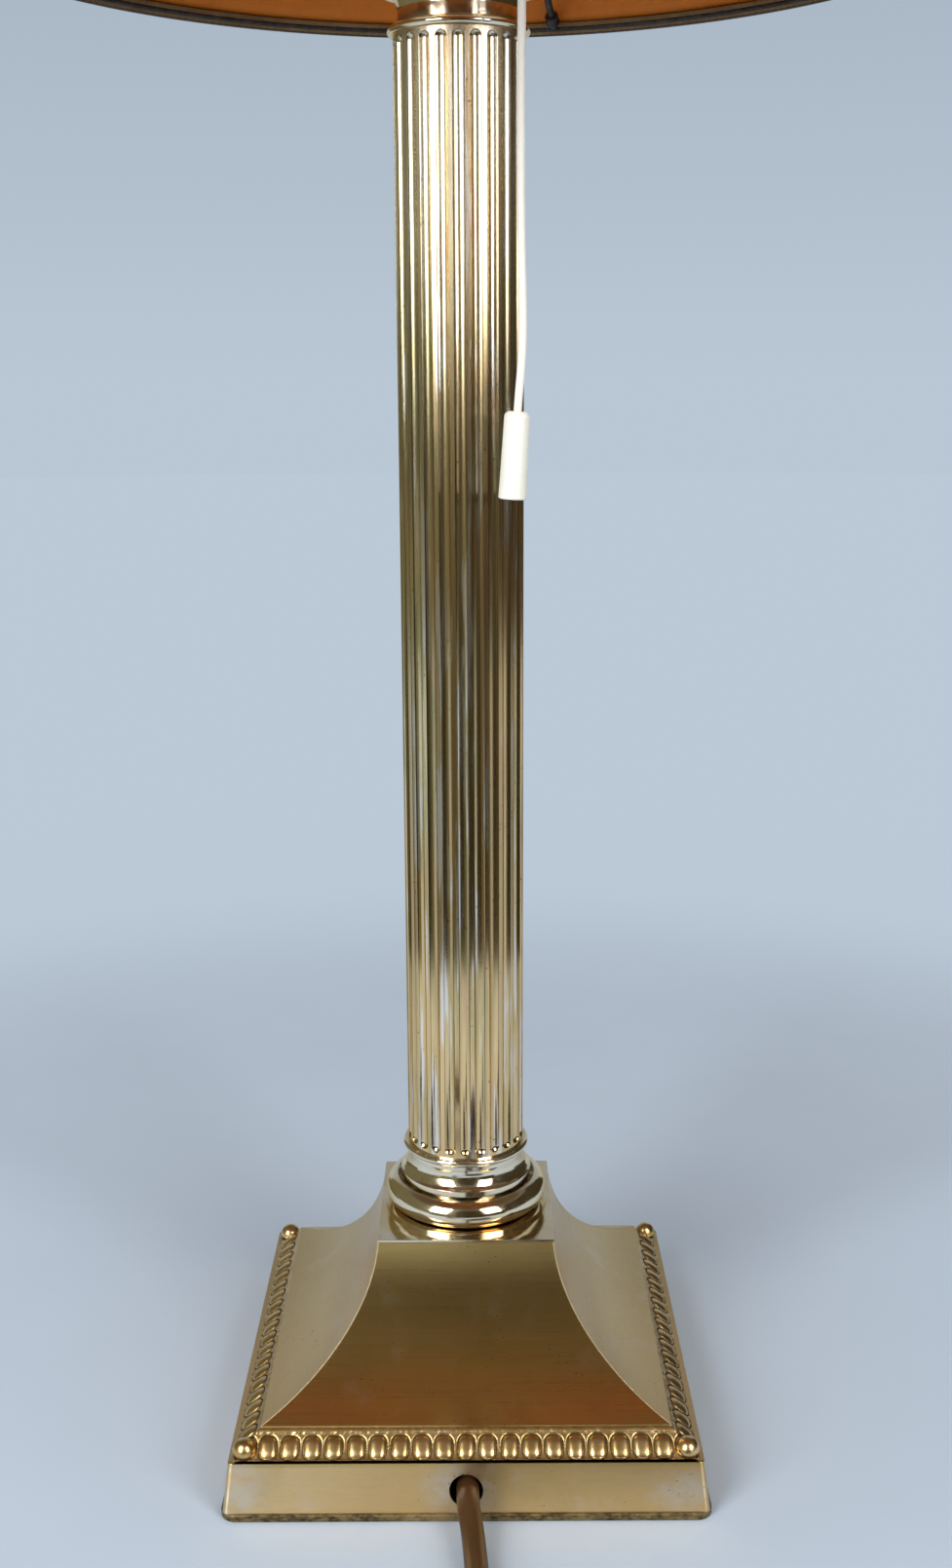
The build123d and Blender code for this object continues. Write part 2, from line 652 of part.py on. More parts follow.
def pyramid_form(inset):
    """The pyramid's outside, or its inside at that depth, as a solid."""
    x, z = sweep_centre()
    radius = PYRAMID_SWEEP + inset
    low = plinth_top - inset
    foot_x = pyramid_half - inset
    foot_z = z - math.sqrt(radius ** 2 - (x - foot_x) ** 2)
    head_z = pyramid_top - inset
    head_x = x - math.sqrt(radius ** 2 - (z - head_z) ** 2)
    rise = arc_rise(radius, math.hypot(foot_x - head_x, head_z - foot_z))
    face = outline(
        (-foot_x, low), (foot_x, low), (foot_x, foot_z), (head_x, head_z, rise), (-head_x, head_z),
        (-foot_x, foot_z, rise)
    )
    along_y = extrude(face, pyramid_half + 5, dir=(0, 1, 0), both=True)
    return along_y & (Rot(0, 0, 90) * along_y)


def pyramid():
    body = pyramid_form(0) - pyramid_form(PYRAMID_WALL)
    return body - disc(tie_hole, pyramid_top - 2 * PYRAMID_WALL, pyramid_top + 1)


def top_plate():
    return slab(plate_half, pyramid_top, plate_top) - disc(tie_hole, pyramid_top - 1, plate_top + 1)


def clamp_washer():
    plate = slab(CLAMP_HALF, clamp_low, clamp_low + CLAMP_THICK, CLAMP_CORNER)
    return plate - disc(tie_hole, clamp_low - 1, pyramid_top)


# ---------------------------------------------------------------- column
def column_base():
    """Turned base: a flange, a torus, a fillet and a hollow neck up to the ring that the column stands in."""
    torus_low = plate_top + FLANGE_THICK
    torus_high = torus_low + TORUS_THICK
    torus_root = COLUMN_RADIUS + TORUS_PROUD - TORUS_BULGE
    fillet_radius = COLUMN_RADIUS + FILLET_PROUD
    fillet_high = torus_high + FILLET_THICK
    bevel_in, bevel_up = FILLET_BEVEL
    neck = COLUMN_RADIUS + BASE_NECK_PROUD
    ring_high = column_low - RING_GAP
    ring_low = ring_high - RING_THICK
    ring_root = ring_radius - RING_BULGE
    inner = spigot_radius - SPIGOT_WALL
    floor = plate_top + BASE_FLOOR
    return turned(
        (tie_hole, plate_top), (flange_radius, plate_top), (flange_radius, torus_low),
        (torus_root, torus_low), (torus_root, torus_high, -TORUS_BULGE),
        (fillet_radius, torus_high), (fillet_radius, fillet_high),
        (fillet_radius - bevel_in, fillet_high + bevel_up),
        (neck, ring_low - BASE_HOLLOW_STOP, BASE_HOLLOW), (neck, ring_low),
        (ring_root, ring_low), (ring_root, ring_high, -RING_BULGE), (neck, ring_high), (neck, column_low),
        (spigot_radius, column_low), (spigot_radius, column_low + SPIGOT), (inner, column_low + SPIGOT),
        (inner, floor), (tie_hole, floor)
    )


def fluted_column():
    tube = sleeve(COLUMN_RADIUS, COLUMN_RADIUS - COLUMN_WALL, column_low, column_high)
    low = column_low + FLUTE_END + FLUTE_CUTTER
    high = column_high - FLUTE_END - FLUTE_CUTTER
    reach = COLUMN_RADIUS + FLUTE_CUTTER - FLUTE_DEPTH
    dome = -FLUTE_CUTTER * (1 - math.sqrt(0.5))
    cutter = turned(
        (0, low - FLUTE_CUTTER), (FLUTE_CUTTER, low, dome),
        (FLUTE_CUTTER, high), (0, high + FLUTE_CUTTER, dome)
    )
    return tube.cut(*(Rot(0, 0, 360 / FLUTES * i) * Pos(reach, 0, 0) * cutter for i in range(FLUTES)))


def capital():
    """Turned capital: a ring, a neck, a flare with a lip and a rounded echinus under the abacus."""
    ring_top = column_high + RING_THICK
    ring_root = ring_radius - RING_BULGE
    neck_top = ring_top + NECK_LENGTH
    flare_top = neck_top + FLARE
    flare_radius = neck_radius + FLARE
    lip_radius = flare_radius + FLARE_LIP
    inner = spigot_radius - SPIGOT_WALL
    return turned(
        (spigot_radius, column_high - SPIGOT), (spigot_radius, column_high), (ring_root, column_high),
        (ring_root, ring_top, -RING_BULGE), (neck_radius + NECK_BEVEL, ring_top),
        (neck_radius, ring_top + NECK_BEVEL), (neck_radius, neck_top),
        (flare_radius, flare_top, FLARE * (1 - math.sqrt(0.5))),
        (lip_radius, flare_top), (lip_radius, flare_top + FLARE_LIP_THICK),
        (echinus_radius, capital_top - ECHINUS_RIM, -ECHINUS_BULGE), (echinus_radius, capital_top),
        (tie_hole, capital_top), (tie_hole, column_high),
        (inner, column_high - CAPITAL_FLOOR), (inner, column_high - SPIGOT)
    )


def abacus():
    body = slab(abacus_half, capital_top, abacus_top)
    body = chamfer(body.edges().group_by(Axis.Z)[-1], ABACUS_CHAMFER)
    return body - disc(tie_hole, capital_top - 1, abacus_top + 1)


def holder_cup():
    """Turned cup that sweeps in from its rim to a waist with a rounded collar."""
    profile = [(waist_radius + out, abacus_top + up, *bulge) for out, up, *bulge in CUP_PROFILE]
    return turned(
        (tie_hole, abacus_top), (CUP_RADIUS, abacus_top), (CUP_RADIUS, abacus_top + CUP_RIM), *profile,
        (waist_radius, cup_top), (tie_hole, cup_top)
    )


# ---------------------------------------------------------------- lampholder
def holder_cap():
    """Domed cap that the switch body sits in."""
    rim = insert_radius + PRESS
    wall = HOLDER_WALL
    low = holder_low + HOLDER_CAP_FOOT
    high = switch_low - HOLDER_LAP
    return turned(
        (tie_hole, holder_low), (HOLDER_NECK, holder_low), (HOLDER_NECK, low),
        (rim, high, -HOLDER_CAP_BULGE), (rim, switch_low), (rim - wall, switch_low), (rim - wall, high),
        (HOLDER_NECK, low + wall, HOLDER_CAP_BULGE), (tie_hole, low + wall)
    )


def lever_place():
    """Turns a piece drawn along X to the lever's bearing."""
    return Rot(0, 0, eye_bearing)


def lever_slot(play, inner, outer):
    """Room for the lever's swing between two distances from the lamp's axis."""
    swing = (outer - LEVER_PIVOT) * math.sin(math.radians(LEVER_SWING / 2))
    height = 2 * (swing + LEVER_THICK / 2 + SLOT_RISE)
    room = Pos((inner + outer) / 2, 0, lever_height) * Box(outer - inner, LEVER_WIDTH + 2 * play, height)
    return lever_place() * room


def holder_shell():
    body = sleeve(HOLDER_RADIUS, HOLDER_RADIUS - HOLDER_WALL, switch_low - HOLDER_LAP, terminal_high)
    return body - lever_slot(SLOT_SHELL_PLAY, HOLDER_RADIUS / 2, HOLDER_RADIUS + 2)


def core_holes(low, high):
    hole = Pos(CORE_REACH, 0, 0) * disc(CORE / 2 + CORE_PLAY, low, high)
    return [Rot(0, 0, eye_bearing + turn) * hole for turn in CORE_TURNS]


def switch_body():
    """Moulded block with the lever's slot, the rotor's chamber and holes for pivot, axle and conductors."""
    body = disc(insert_radius, switch_low, switch_high)
    chamber = cross_bar(ROTOR_PLACE, ROTOR_RADIUS + ROTOR_ROOM, LEVER_WIDTH + 2 * SLOT_PLAY)
    pivot = cross_bar(LEVER_PIVOT, PIN_RADIUS + PRESS, PIN_LENGTH + PIN_ROOM)
    axle = cross_bar(ROTOR_PLACE, AXLE_RADIUS + PRESS, PIN_LENGTH + PIN_ROOM)
    slot = lever_slot(SLOT_PLAY, ROTOR_PLACE, insert_radius + 2)
    cuts = [lever_place() * piece for piece in (chamber, pivot, axle)]
    return body.cut(slot, *cuts, *core_holes(switch_low - 1, switch_high + 1))


def pivot_pin():
    return lever_place() * cross_bar(LEVER_PIVOT, PIN_RADIUS, PIN_LENGTH)


def switch_rotor():
    """Ratchet wheel that a pull moves on by one lobe, with its axle."""
    wheel = cross_bar(ROTOR_PLACE, ROTOR_RADIUS, ROTOR_WIDTH)
    notches = []
    for i in range(ROTOR_LOBES):
        angle = 2 * math.pi / ROTOR_LOBES * (i + 0.5)
        reach = ROTOR_RADIUS + ROTOR_NOTCH_OUT
        shift = Pos(reach * math.cos(angle), 0, reach * math.sin(angle))
        notches.append(shift * cross_bar(ROTOR_PLACE, ROTOR_NOTCH, ROTOR_WIDTH + 1))
    return lever_place() * (wheel.cut(*notches) + cross_bar(ROTOR_PLACE, AXLE_RADIUS, PIN_LENGTH))


def switch_lever():
    """Flat lever on the pivot, half its swing above level, with an eye for the cord and a tail to the rotor."""
    length = lever_run / math.cos(math.radians(LEVER_SWING / 2))
    eye = PULL_CORD / 2 + EYE_PLAY
    body = Pos(length / 2, 0, 0) * Box(length, LEVER_WIDTH, LEVER_THICK)
    body += Pos(length, 0, 0) * Cylinder(eye + LEVER_EYE, LEVER_THICK)
    body += Rot(90, 0, 0) * Cylinder(PIN_RADIUS + LEVER_BOSS, LEVER_WIDTH)
    body += Pos(-LEVER_TAIL / 2, 0, 0) * Box(LEVER_TAIL, LEVER_WIDTH - 2, LEVER_THICK)
    body -= Rot(90, 0, 0) * Cylinder(PIN_RADIUS + PRESS, LEVER_WIDTH + 1)
    body -= Pos(length, 0, 0) * Cylinder(eye, LEVER_THICK + 2)
    return lever_place() * Pos(LEVER_PIVOT, 0, lever_height) * Rot(0, -LEVER_SWING / 2, 0) * body


def at_terminals(piece):
    """A piece drawn along X, at the height of the clamping screws and at each conductor's bearing."""
    raised = Pos(0, 0, switch_high + TERMINAL_HEIGHT_UP) * piece
    return [Rot(0, 0, eye_bearing + turn) * raised for turn in CORE_TURNS]


def terminal_block():
    """Ceramic block with blind holes for the conductors and a radial screw hole to each."""
    body = disc(insert_radius, switch_high, terminal_high)
    edge = insert_radius + 2
    bore = rod((CORE_REACH, 0, 0), (edge, 0, 0), TERMINAL_SCREW + PRESS)
    sink = rod((insert_radius - TERMINAL_SINK, 0, 0), (edge, 0, 0), TERMINAL_HEAD + TERMINAL_HEAD_PLAY)
    wells = core_holes(switch_high - 1, switch_high + CORE_TAIL + TERMINAL_ROOM)
    return body.cut(*wells, *at_terminals(bore + sink))


def terminal_screws():
    """Cheese-head screws that clamp the conductors."""
    tip = CORE_REACH + CORE / 2 + PRESS
    seat = insert_radius - TERMINAL_SINK
    crown = insert_radius - TERMINAL_CROWN
    screw = rod((tip, 0, 0), (seat, 0, 0), TERMINAL_SCREW) + rod((seat, 0, 0), (crown, 0, 0), TERMINAL_HEAD)
    return group(at_terminals(screw - Pos(crown, 0, 0) * Box(*TERMINAL_SLOT)))


def centre_contact():
    """Bent spring strip under the bulb's tip."""
    low = terminal_high
    high = bulb_low - PRESS
    foot_start, foot_end = CONTACT_FOOT
    head_start, head_end = CONTACT_HEAD
    under = high - CONTACT_THICK
    strip = outline(
        (foot_start, low), (foot_end, low), (head_start, under, -CONTACT_BOW), (head_end, under),
        (head_end, high), (head_start - CONTACT_SHIFT, high),
        (foot_end - CONTACT_SHIFT, low + CONTACT_THICK, CONTACT_BOW), (foot_start, low + CONTACT_THICK)
    )
    return extrude(strip, CONTACT_WIDTH / 2, dir=(0, 1, 0), both=True)


def threaded_skirt():
    """Moulded skirt with a flange under the shade's fitter and grooves that stand for its thread."""
    body = disc(SKIRT_RADIUS + SKIRT_FLANGE, terminal_high, flange_top)
    body += disc(SKIRT_RADIUS, flange_top, skirt_top)
    body -= disc(SCREW_SHELL_BORE + SCREW_SHELL_WALL + PRESS, terminal_high - 1, skirt_top - SKIRT_LIP)
    body -= disc(SCREW_SHELL_BORE, skirt_top - 2 * SKIRT_LIP, skirt_top + 1)
    groove = Torus(SKIRT_RADIUS + THREAD_CUTTER - THREAD_DEPTH, THREAD_CUTTER)
    count = int((SKIRT_HEIGHT - THREAD_PITCH) / THREAD_PITCH)
    heights = [flange_top + THREAD_PITCH * (i + THREAD_START) for i in range(count)]
    return body.cut(*(Pos(0, 0, z) * groove for z in heights))


def screw_shell():
    low = terminal_high + SCREW_SHELL_RISE
    high = skirt_top - SKIRT_LIP - PRESS
    return sleeve(SCREW_SHELL_BORE + SCREW_SHELL_WALL, SCREW_SHELL_BORE, low, high)


# ---------------------------------------------------------------- bulb
def bulb_cap():
    """Threaded cap with its insulator and tip, open above for the glass."""
    low = bulb_low + BULB_CAP_INSULATOR
    high = bulb_low + BULB_CAP_HEIGHT
    floor = low + BULB_CAP_FLOOR
    body = turned(
        (0, bulb_low), (BULB_TIP, bulb_low), (BULB_TIP, bulb_low + BULB_TIP_THICK),
        (cap_bore - BULB_CAP_FLOOR, low), (cap_radius, low),
        (cap_radius, high), (cap_bore, high), (cap_bore, floor), (0, floor)
    )
    groove = Torus(cap_radius + BULB_THREAD_OUT, BULB_THREAD_CUTTER)
    heights = [low + BULB_THREAD_START + BULB_THREAD_PITCH * i for i in range(BULB_THREADS)]
    return body.cut(*(Pos(0, 0, z) * groove for z in heights))


def bulb_glass():
    """Opal globe that narrows to a neck held in the cap."""
    foot = bulb_low + BULB_CAP_HEIGHT - BULB_SOCKET
    bend = foot + BULB_NECK
    top = bulb_low + BULB_LENGTH
    centre = top - BULB_RADIUS
    inner = BULB_RADIUS - GLASS_THICK
    drop = BULB_RADIUS * BULB_SHOULDER
    width = math.sqrt(BULB_RADIUS ** 2 - drop ** 2)
    inner_width = math.sqrt(inner ** 2 - drop ** 2)
    crown = 1 - math.sqrt(0.5)
    return turned(
        (bulb_neck, foot), (bulb_neck, bend), (width, centre - drop, BULB_NECK_BOW),
        (BULB_RADIUS, centre, -arc_rise(BULB_RADIUS, math.hypot(BULB_RADIUS - width, drop))),
        (0, top, -BULB_RADIUS * crown), (0, top - GLASS_THICK), (inner, centre, inner * crown),
        (inner_width, centre - drop, arc_rise(inner, math.hypot(inner - inner_width, drop))),
        (bulb_neck - GLASS_THICK, bend, -BULB_NECK_BOW), (bulb_neck - GLASS_THICK, foot)
    )


# ---------------------------------------------------------------- shade
def shade_radius(z, depth=0.0):
    """Radius of the cover's outside at a height, less a depth into the wall."""
    return SHADE_RADIUS - TRIM_WALL - (z - rim_low) * shade_slope - depth


def skin(outside, inside):
    low = rim_low + skin_edge
    high = shade_top - skin_edge
    return turned(
        (shade_radius(low, inside), low), (shade_radius(low, outside), low),
        (shade_radius(high, outside), high), (shade_radius(high, inside), high)
    )


def shade_cover():
    return skin(0, COVER_THICK)


def shade_lining():
    return skin(COVER_THICK + PRESS, COVER_THICK + PRESS + LINING_THICK)


def wire_height(edge, inward):
    return edge + inward * (TRIM_WALL + PRESS + WIRE_RADIUS)


def rim_wire(edge, inward):
    z = wire_height(edge, inward)
    return Pos(0, 0, z) * Torus(shade_radius(z, wire_depth), WIRE_RADIUS)


def trim(edge, inward, height):
    """Folded binding round a rim's wire and the edges of cover and lining. inward: 1 upwards, -1 downwards."""
    seat = edge + inward * TRIM_WALL
    neck = edge + inward * (skin_edge - PRESS)
    lip = edge + inward * height
    deep = 2 * wire_depth
    snug = COVER_THICK + LINING_THICK + 2 * PRESS
    section = [             # depth into the shade's wall, and height
        (deep - TRIM_BEVEL, edge), (TRIM_BEVEL - TRIM_WALL, edge), (-TRIM_WALL, seat), (-TRIM_WALL, lip),
        (-PRESS, lip), (-PRESS, seat), (deep, seat), (deep, neck), (snug, lip), (snug + TRIM_WALL, lip),
        (deep + TRIM_WALL, neck), (deep + TRIM_WALL, seat),
    ]
    return turned(*((shade_radius(z, depth), z) for depth, z in section))


def arm_line():
    """Start and direction of an arm's axis at bearing zero, and the middle of the bottom wire that it aims at."""
    z = wire_height(rim_low, 1)
    inner = Vector(fitter_radius - ARM_ROOT, 0, fitter_low + FITTER_THICK / 2)
    wire = Vector(shade_radius(z, wire_depth), 0, z)
    return inner, (wire - inner).normalized(), wire


def arm_rod(radius, short=WIRE_RADIUS + PRESS):
    """Bar along an arm's axis that ends that much short of the wire's middle."""
    inner, way, wire = arm_line()
    return rod(inner, wire - way * short, radius)


def at_arms(piece):
    return [Rot(0, 0, ARM_BEARING + 360 / ARMS * i) * piece for i in range(ARMS)]


def shade_arms():
    arm = arm_rod(WIRE_RADIUS) - disc(fitter_radius + PRESS, fitter_low - 20, fitter_high + 20)
    return group(at_arms(first_solid(arm)))


def arm_ferrules():
    """Collars where the arms meet the rim, against the binding's inner wall."""
    inner, way, wire = arm_line()
    end = wire - way * ((wire_depth + TRIM_WALL + FERRULE_GAP) / way.X)
    collar = rod(end - way * FERRULE_LENGTH, end, FERRULE_RADIUS)
    collar = fillet(collar.edges().filter_by(GeomType.CIRCLE), FERRULE_ROUND)
    return group(at_arms(first_solid(collar - arm_rod(WIRE_RADIUS + PRESS, 0))))


def bottom_trim():
    return trim(rim_low, 1, TRIM_HEIGHT).cut(*at_arms(arm_rod(WIRE_RADIUS + PRESS, 0)))


def fitter_ring():
    return sleeve(fitter_radius, SKIRT_RADIUS + RUNNING, fitter_low, fitter_high)


def shade_nut():
    low = fitter_high + RUNNING
    radius = SKIRT_RADIUS + SHADE_NUT_WIDTH
    body = sleeve(radius, SKIRT_RADIUS + PRESS, low, low + SHADE_NUT_HEIGHT)
    notch = Pos(radius + 0.4, 0, 0) * disc(NUT_GRIP, low - 1, low + SHADE_NUT_HEIGHT + 1)
    return body.cut(*(Rot(0, 0, 360 / NUT_GRIPS * i) * notch for i in range(NUT_GRIPS)))


# ---------------------------------------------------------------- pull cord and knob
def pull_points():
    return [(PULL_SIDE + side, -pull_away, eye_height + up) for side, up in PULL_ROUTE]


def knot(origin, way):
    """Overhand knot, as the rounded lump that it makes on the cord."""
    return Plane(origin=origin, z_dir=way) * (Sphere(PULL_KNOT / 2) - Cylinder(PULL_CORD / 2 + PRESS, 10))


def cord_knots():
    """One knot above the lever's eye and one in the knob's cavity."""
    points = [Vector(*point) for point in pull_points()]
    upper = Vector(points[0].X, points[0].Y, eye_height + LEVER_THICK / 2 + KNOT_SEAT)
    way = (points[-1] - points[-2]).normalized()
    lower = points[-1] - way * (PULL_KNOT / 2 + KNOT_TAIL)
    return group([knot(upper, points[1] - points[0]), knot(lower, way)])


def pull_knob():
    """Tapered knob with a domed top, a bore for the cord and a cavity that hides its knot."""
    form = turned(
        (0, 0), (KNOB_TOP - KNOB_DOME, 0), (KNOB_TOP, KNOB_DOME, -KNOB_DOME_BULGE),
        (KNOB_FOOT, KNOB_LENGTH - KNOB_FOOT_BEVEL), (KNOB_FOOT - KNOB_FOOT_BEVEL, KNOB_LENGTH), (0, KNOB_LENGTH)
    )
    form -= disc(PULL_CORD / 2 + KNOB_BORE_PLAY, -1, KNOB_CEILING + 1)
    form -= disc(KNOB_CAVITY, KNOB_CEILING, KNOB_LENGTH + 1)
    corner, end = [Vector(*point) for point in pull_points()[-2:]]
    way = (end - corner).normalized()
    return Plane(origin=corner + way * KNOB_DROP, z_dir=way) * form


# ---------------------------------------------------------------- conductors inside the lamp
def cord_sheath():
    """Sheathed cord from the plinth's hole to below the tie tube, where it is stripped."""
    x, y, z = free_points()[0]
    path = FilletPolyline((x, y, z), (x, 0, z), (x, 0, tie_low - SHEATH_END), radius=[SHEATH_BEND])
    return swept_tube("cord_sheath", path, CORD)


def core(turn):
    """One conductor, up the tie tube, out in the lampholder's cap and up into the terminal block."""
    in_tube = math.radians(eye_bearing + 180 + 2 * (turn - 180))
    in_block = math.radians(eye_bearing + turn)
    near = (CORE_RING * math.cos(in_tube), CORE_RING * math.sin(in_tube))
    far = (CORE_REACH * math.cos(in_block), CORE_REACH * math.sin(in_block))
    path = FilletPolyline(
        (*near, tie_low - SHEATH_END), (*near, tie_high + CORE_LEAVE), (*far, switch_low - CORE_ARRIVE),
        (*far, switch_high + CORE_TAIL), radius=[CORE_BEND, CORE_BEND]
    )
    return swept_tube("core", path, CORE)


# ---------------------------------------------------------------- mains cord, put-away coil and plug
turn_pitch = CORD + COIL_TURN_GAP
coil_floor = STRAP_THICK + STRAP_GAP + cord_radius
layer_turns = (COIL_TURNS - 0.5) / 2
coil_outer = COIL_MEAN_RADIUS + layer_turns * turn_pitch / 2
coil_inner = COIL_MEAN_RADIUS - layer_turns * turn_pitch / 2
coil_start = (COIL_SIDE, -plinth_low_half - COIL_OUT)
coil_centre = (coil_start[0] + coil_outer, coil_start[1])


def free_points():
    """Free cord from inside the plinth's hole to the level run into the coil."""
    route = [(x, -plinth_low_half - out, z) for x, out, z in FREE_ROUTE]
    return route + [(coil_start[0], coil_start[1] + COIL_APPROACH, coil_floor)]


def coil_state(turns):
    """Radius and height of the winding after that many turns: in, up through a half turn, and out again."""
    if turns <= layer_turns:
        return coil_outer - turns * turn_pitch, coil_floor
    climb = turns - layer_turns
    if climb >= 0.5:
        return coil_inner + (climb - 0.5) * turn_pitch, coil_floor + turn_pitch
    draw_in = turn_pitch / (2 * math.pi) * math.sin(2 * math.pi * climb)
    return coil_inner - draw_in, coil_floor + turn_pitch * (1 - math.cos(2 * math.pi * climb)) / 2


def coil_point(turns):
    radius, z = coil_state(turns)
    angle = math.pi * (1 + 2 * turns)
    return Vector(coil_centre[0] + radius * math.cos(angle), coil_centre[1] + radius * math.sin(angle), z)


def coil_way(turns):
    """Direction of travel, square to the radius at both ends."""
    if turns in (0, COIL_TURNS):
        return Vector(0, -1, 0)
    return (coil_point(turns + 0.001) - coil_point(turns - 0.001)).normalized()


def coil_ends():
    """Outer ends of the straight stretches, a cord's diameter long, that lead in and out."""
    straight = Vector(0, CORD, 0)
    return coil_point(0) + straight, coil_point(COIL_TURNS) - straight


def coil_path():
    """The straight ends, and between them a biarc for each quarter turn."""
    entry, leave = coil_ends()
    marks = [i / 4 for i in range(4 * COIL_TURNS + 1)]
    edges = [Edge.make_line(entry, coil_point(0))]
    for a, b in zip(marks, marks[1:]):
        edges += biarc(coil_point(a), coil_way(a), coil_point(b), coil_way(b))
    edges.append(Edge.make_line(coil_point(COIL_TURNS), leave))
    return Wire(edges)


def least_gap(path):
    """Least distance between the tube's own surfaces, from points along it."""
    count = 1200
    points = [tuple(path @ (i / count)) for i in range(count + 1)]
    skip = int(3 * CORD * count / path.length)
    pairs = (math.dist(a, b) for i, a in enumerate(points) for b in points[i + skip:])
    return min(pairs) - CORD


def cord_coil():
    path = coil_path()
    least_radius = coil_state(layer_turns + 0.25)[0]
    print("cord_coil least gap", round(least_gap(path), 2), "least radius", round(least_radius, 1))
    return swept_tube("cord_coil", path, CORD)


def coil_strap():
    """Strap round all the turns at the coil's far side."""
    crossings = [coil_state(turn + 0.5)[0] for turn in range(COIL_TURNS)]
    inner_edge = min(crossings) - cord_radius
    inner = math.sqrt(inner_edge ** 2 - STRAP_WIDTH ** 2 / 4) - 2 * STRAP_GAP
    outer = max(crossings) + cord_radius + 2 * STRAP_GAP
    height = turn_pitch + CORD + 2 * STRAP_GAP
    opening = Box(outer - inner, STRAP_WIDTH + 2, height)
    body = Box(outer - inner + 2 * STRAP_THICK, STRAP_WIDTH, height + 2 * STRAP_THICK)
    body = fillet(body.edges().filter_by(Axis.Y), STRAP_ROUND) - opening
    return Pos(coil_centre[0] + (inner + outer) / 2, coil_centre[1], STRAP_THICK + height / 2) * body


def mains_cord():
    return routed_tube("mains_cord", free_points() + [tuple(coil_ends()[0])], CORD)


def lead_points():
    start = coil_ends()[1]
    rise = PLUG_FLAT - start.Z
    route = [(0, 0, 0)] + LEAD_ROUTE
    return [(start.X + x, start.Y + y, start.Z + share * rise) for x, y, share in route]


def plug_lead():
    return routed_tube("plug_lead", lead_points(), CORD)


def plug_place():
    """Frame at the lead's end, with +Z out of the plug's face and Y upright."""
    before, end = [Vector(*point) for point in lead_points()[-2:]]
    way = (end - before).normalized()
    return Plane(origin=end, x_dir=Vector(-way.Y, way.X, 0), z_dir=way)


def plug_boot():
    """Ribbed strain relief that the lead runs into."""
    tip = cord_radius + BOOT_TIP
    body = turned((0, 0), (tip, 0), (BOOT_BELL, BOOT_LENGTH - 1), (BOOT_BELL, BOOT_LENGTH), (0, BOOT_LENGTH))
    pitch = (BOOT_LENGTH - BOOT_PLAIN) / BOOT_RIBS
    for i in range(BOOT_RIBS):
        z = BOOT_RIB_START + pitch * i
        waist = tip + (BOOT_BELL - tip) * z / BOOT_LENGTH - BOOT_WAIST
        body -= sleeve(2 * BOOT_BELL, waist, z, z + pitch / 3)
    return plug_place() * body


def plug_body():
    """Round earthed plug with a tapered grip and two flats that hold its earth contacts."""
    shoulder = plug_face - PLUG_RIM
    collar_out, collar_run, collar_bulge = PLUG_COLLAR
    flare_short, flare_hollow = PLUG_FLARE
    shoulder_run, shoulder_bulge = PLUG_SHOULDER
    edge, edge_bulge = PLUG_EDGE
    body = turned(
        (0, BOOT_LENGTH), (PLUG_GRIP, BOOT_LENGTH),
        (PLUG_GRIP + collar_out, BOOT_LENGTH + collar_run, -collar_bulge),
        (PLUG_RADIUS - flare_short, shoulder, flare_hollow),
        (PLUG_RADIUS, shoulder + shoulder_run, -shoulder_bulge),
        (PLUG_RADIUS, plug_face - edge), (PLUG_RADIUS - edge, plug_face, -edge_bulge), (0, plug_face)
    )
    body &= Pos(0, 0, plug_face / 2) * Box(3 * PLUG_RADIUS, 2 * PLUG_FLAT, 2 * plug_face)
    groove = Box(EARTH_WIDTH + 2 * PRESS, 2 * EARTH_DEPTH, 2 * EARTH_LENGTH)
    socket = Cylinder(PLUG_PIN_STEM + PRESS, 2 * PLUG_PIN_ROOT)
    for side in (-1, 1):
        body -= Pos(0, side * PLUG_FLAT, plug_face) * groove
        body -= Pos(side * PLUG_PIN_SPACING / 2, 0, plug_face) * socket
    return plug_place() * body


def plug_pins():
    pin = disc(PLUG_PIN, plug_face, plug_face + PLUG_PIN_LENGTH)
    pin = chamfer(pin.edges().group_by(Axis.Z)[-1], PLUG_PIN_CHAMFER)
    pin += disc(PLUG_PIN_STEM, plug_face - PLUG_PIN_ROOT, plug_face)
    return group(plug_place() * Pos(side * PLUG_PIN_SPACING / 2, 0, 0) * pin for side in (-1, 1))


def plug_earth():
    strip = Box(EARTH_WIDTH, EARTH_DEPTH - 2 * PRESS, EARTH_LENGTH - 2 * PRESS)
    strip = Pos(0, 0, plug_face - EARTH_LENGTH / 2) * strip
    side = PLUG_FLAT - EARTH_DEPTH / 2
    return group(plug_place() * Pos(0, y, 0) * strip for y in (-side, side))


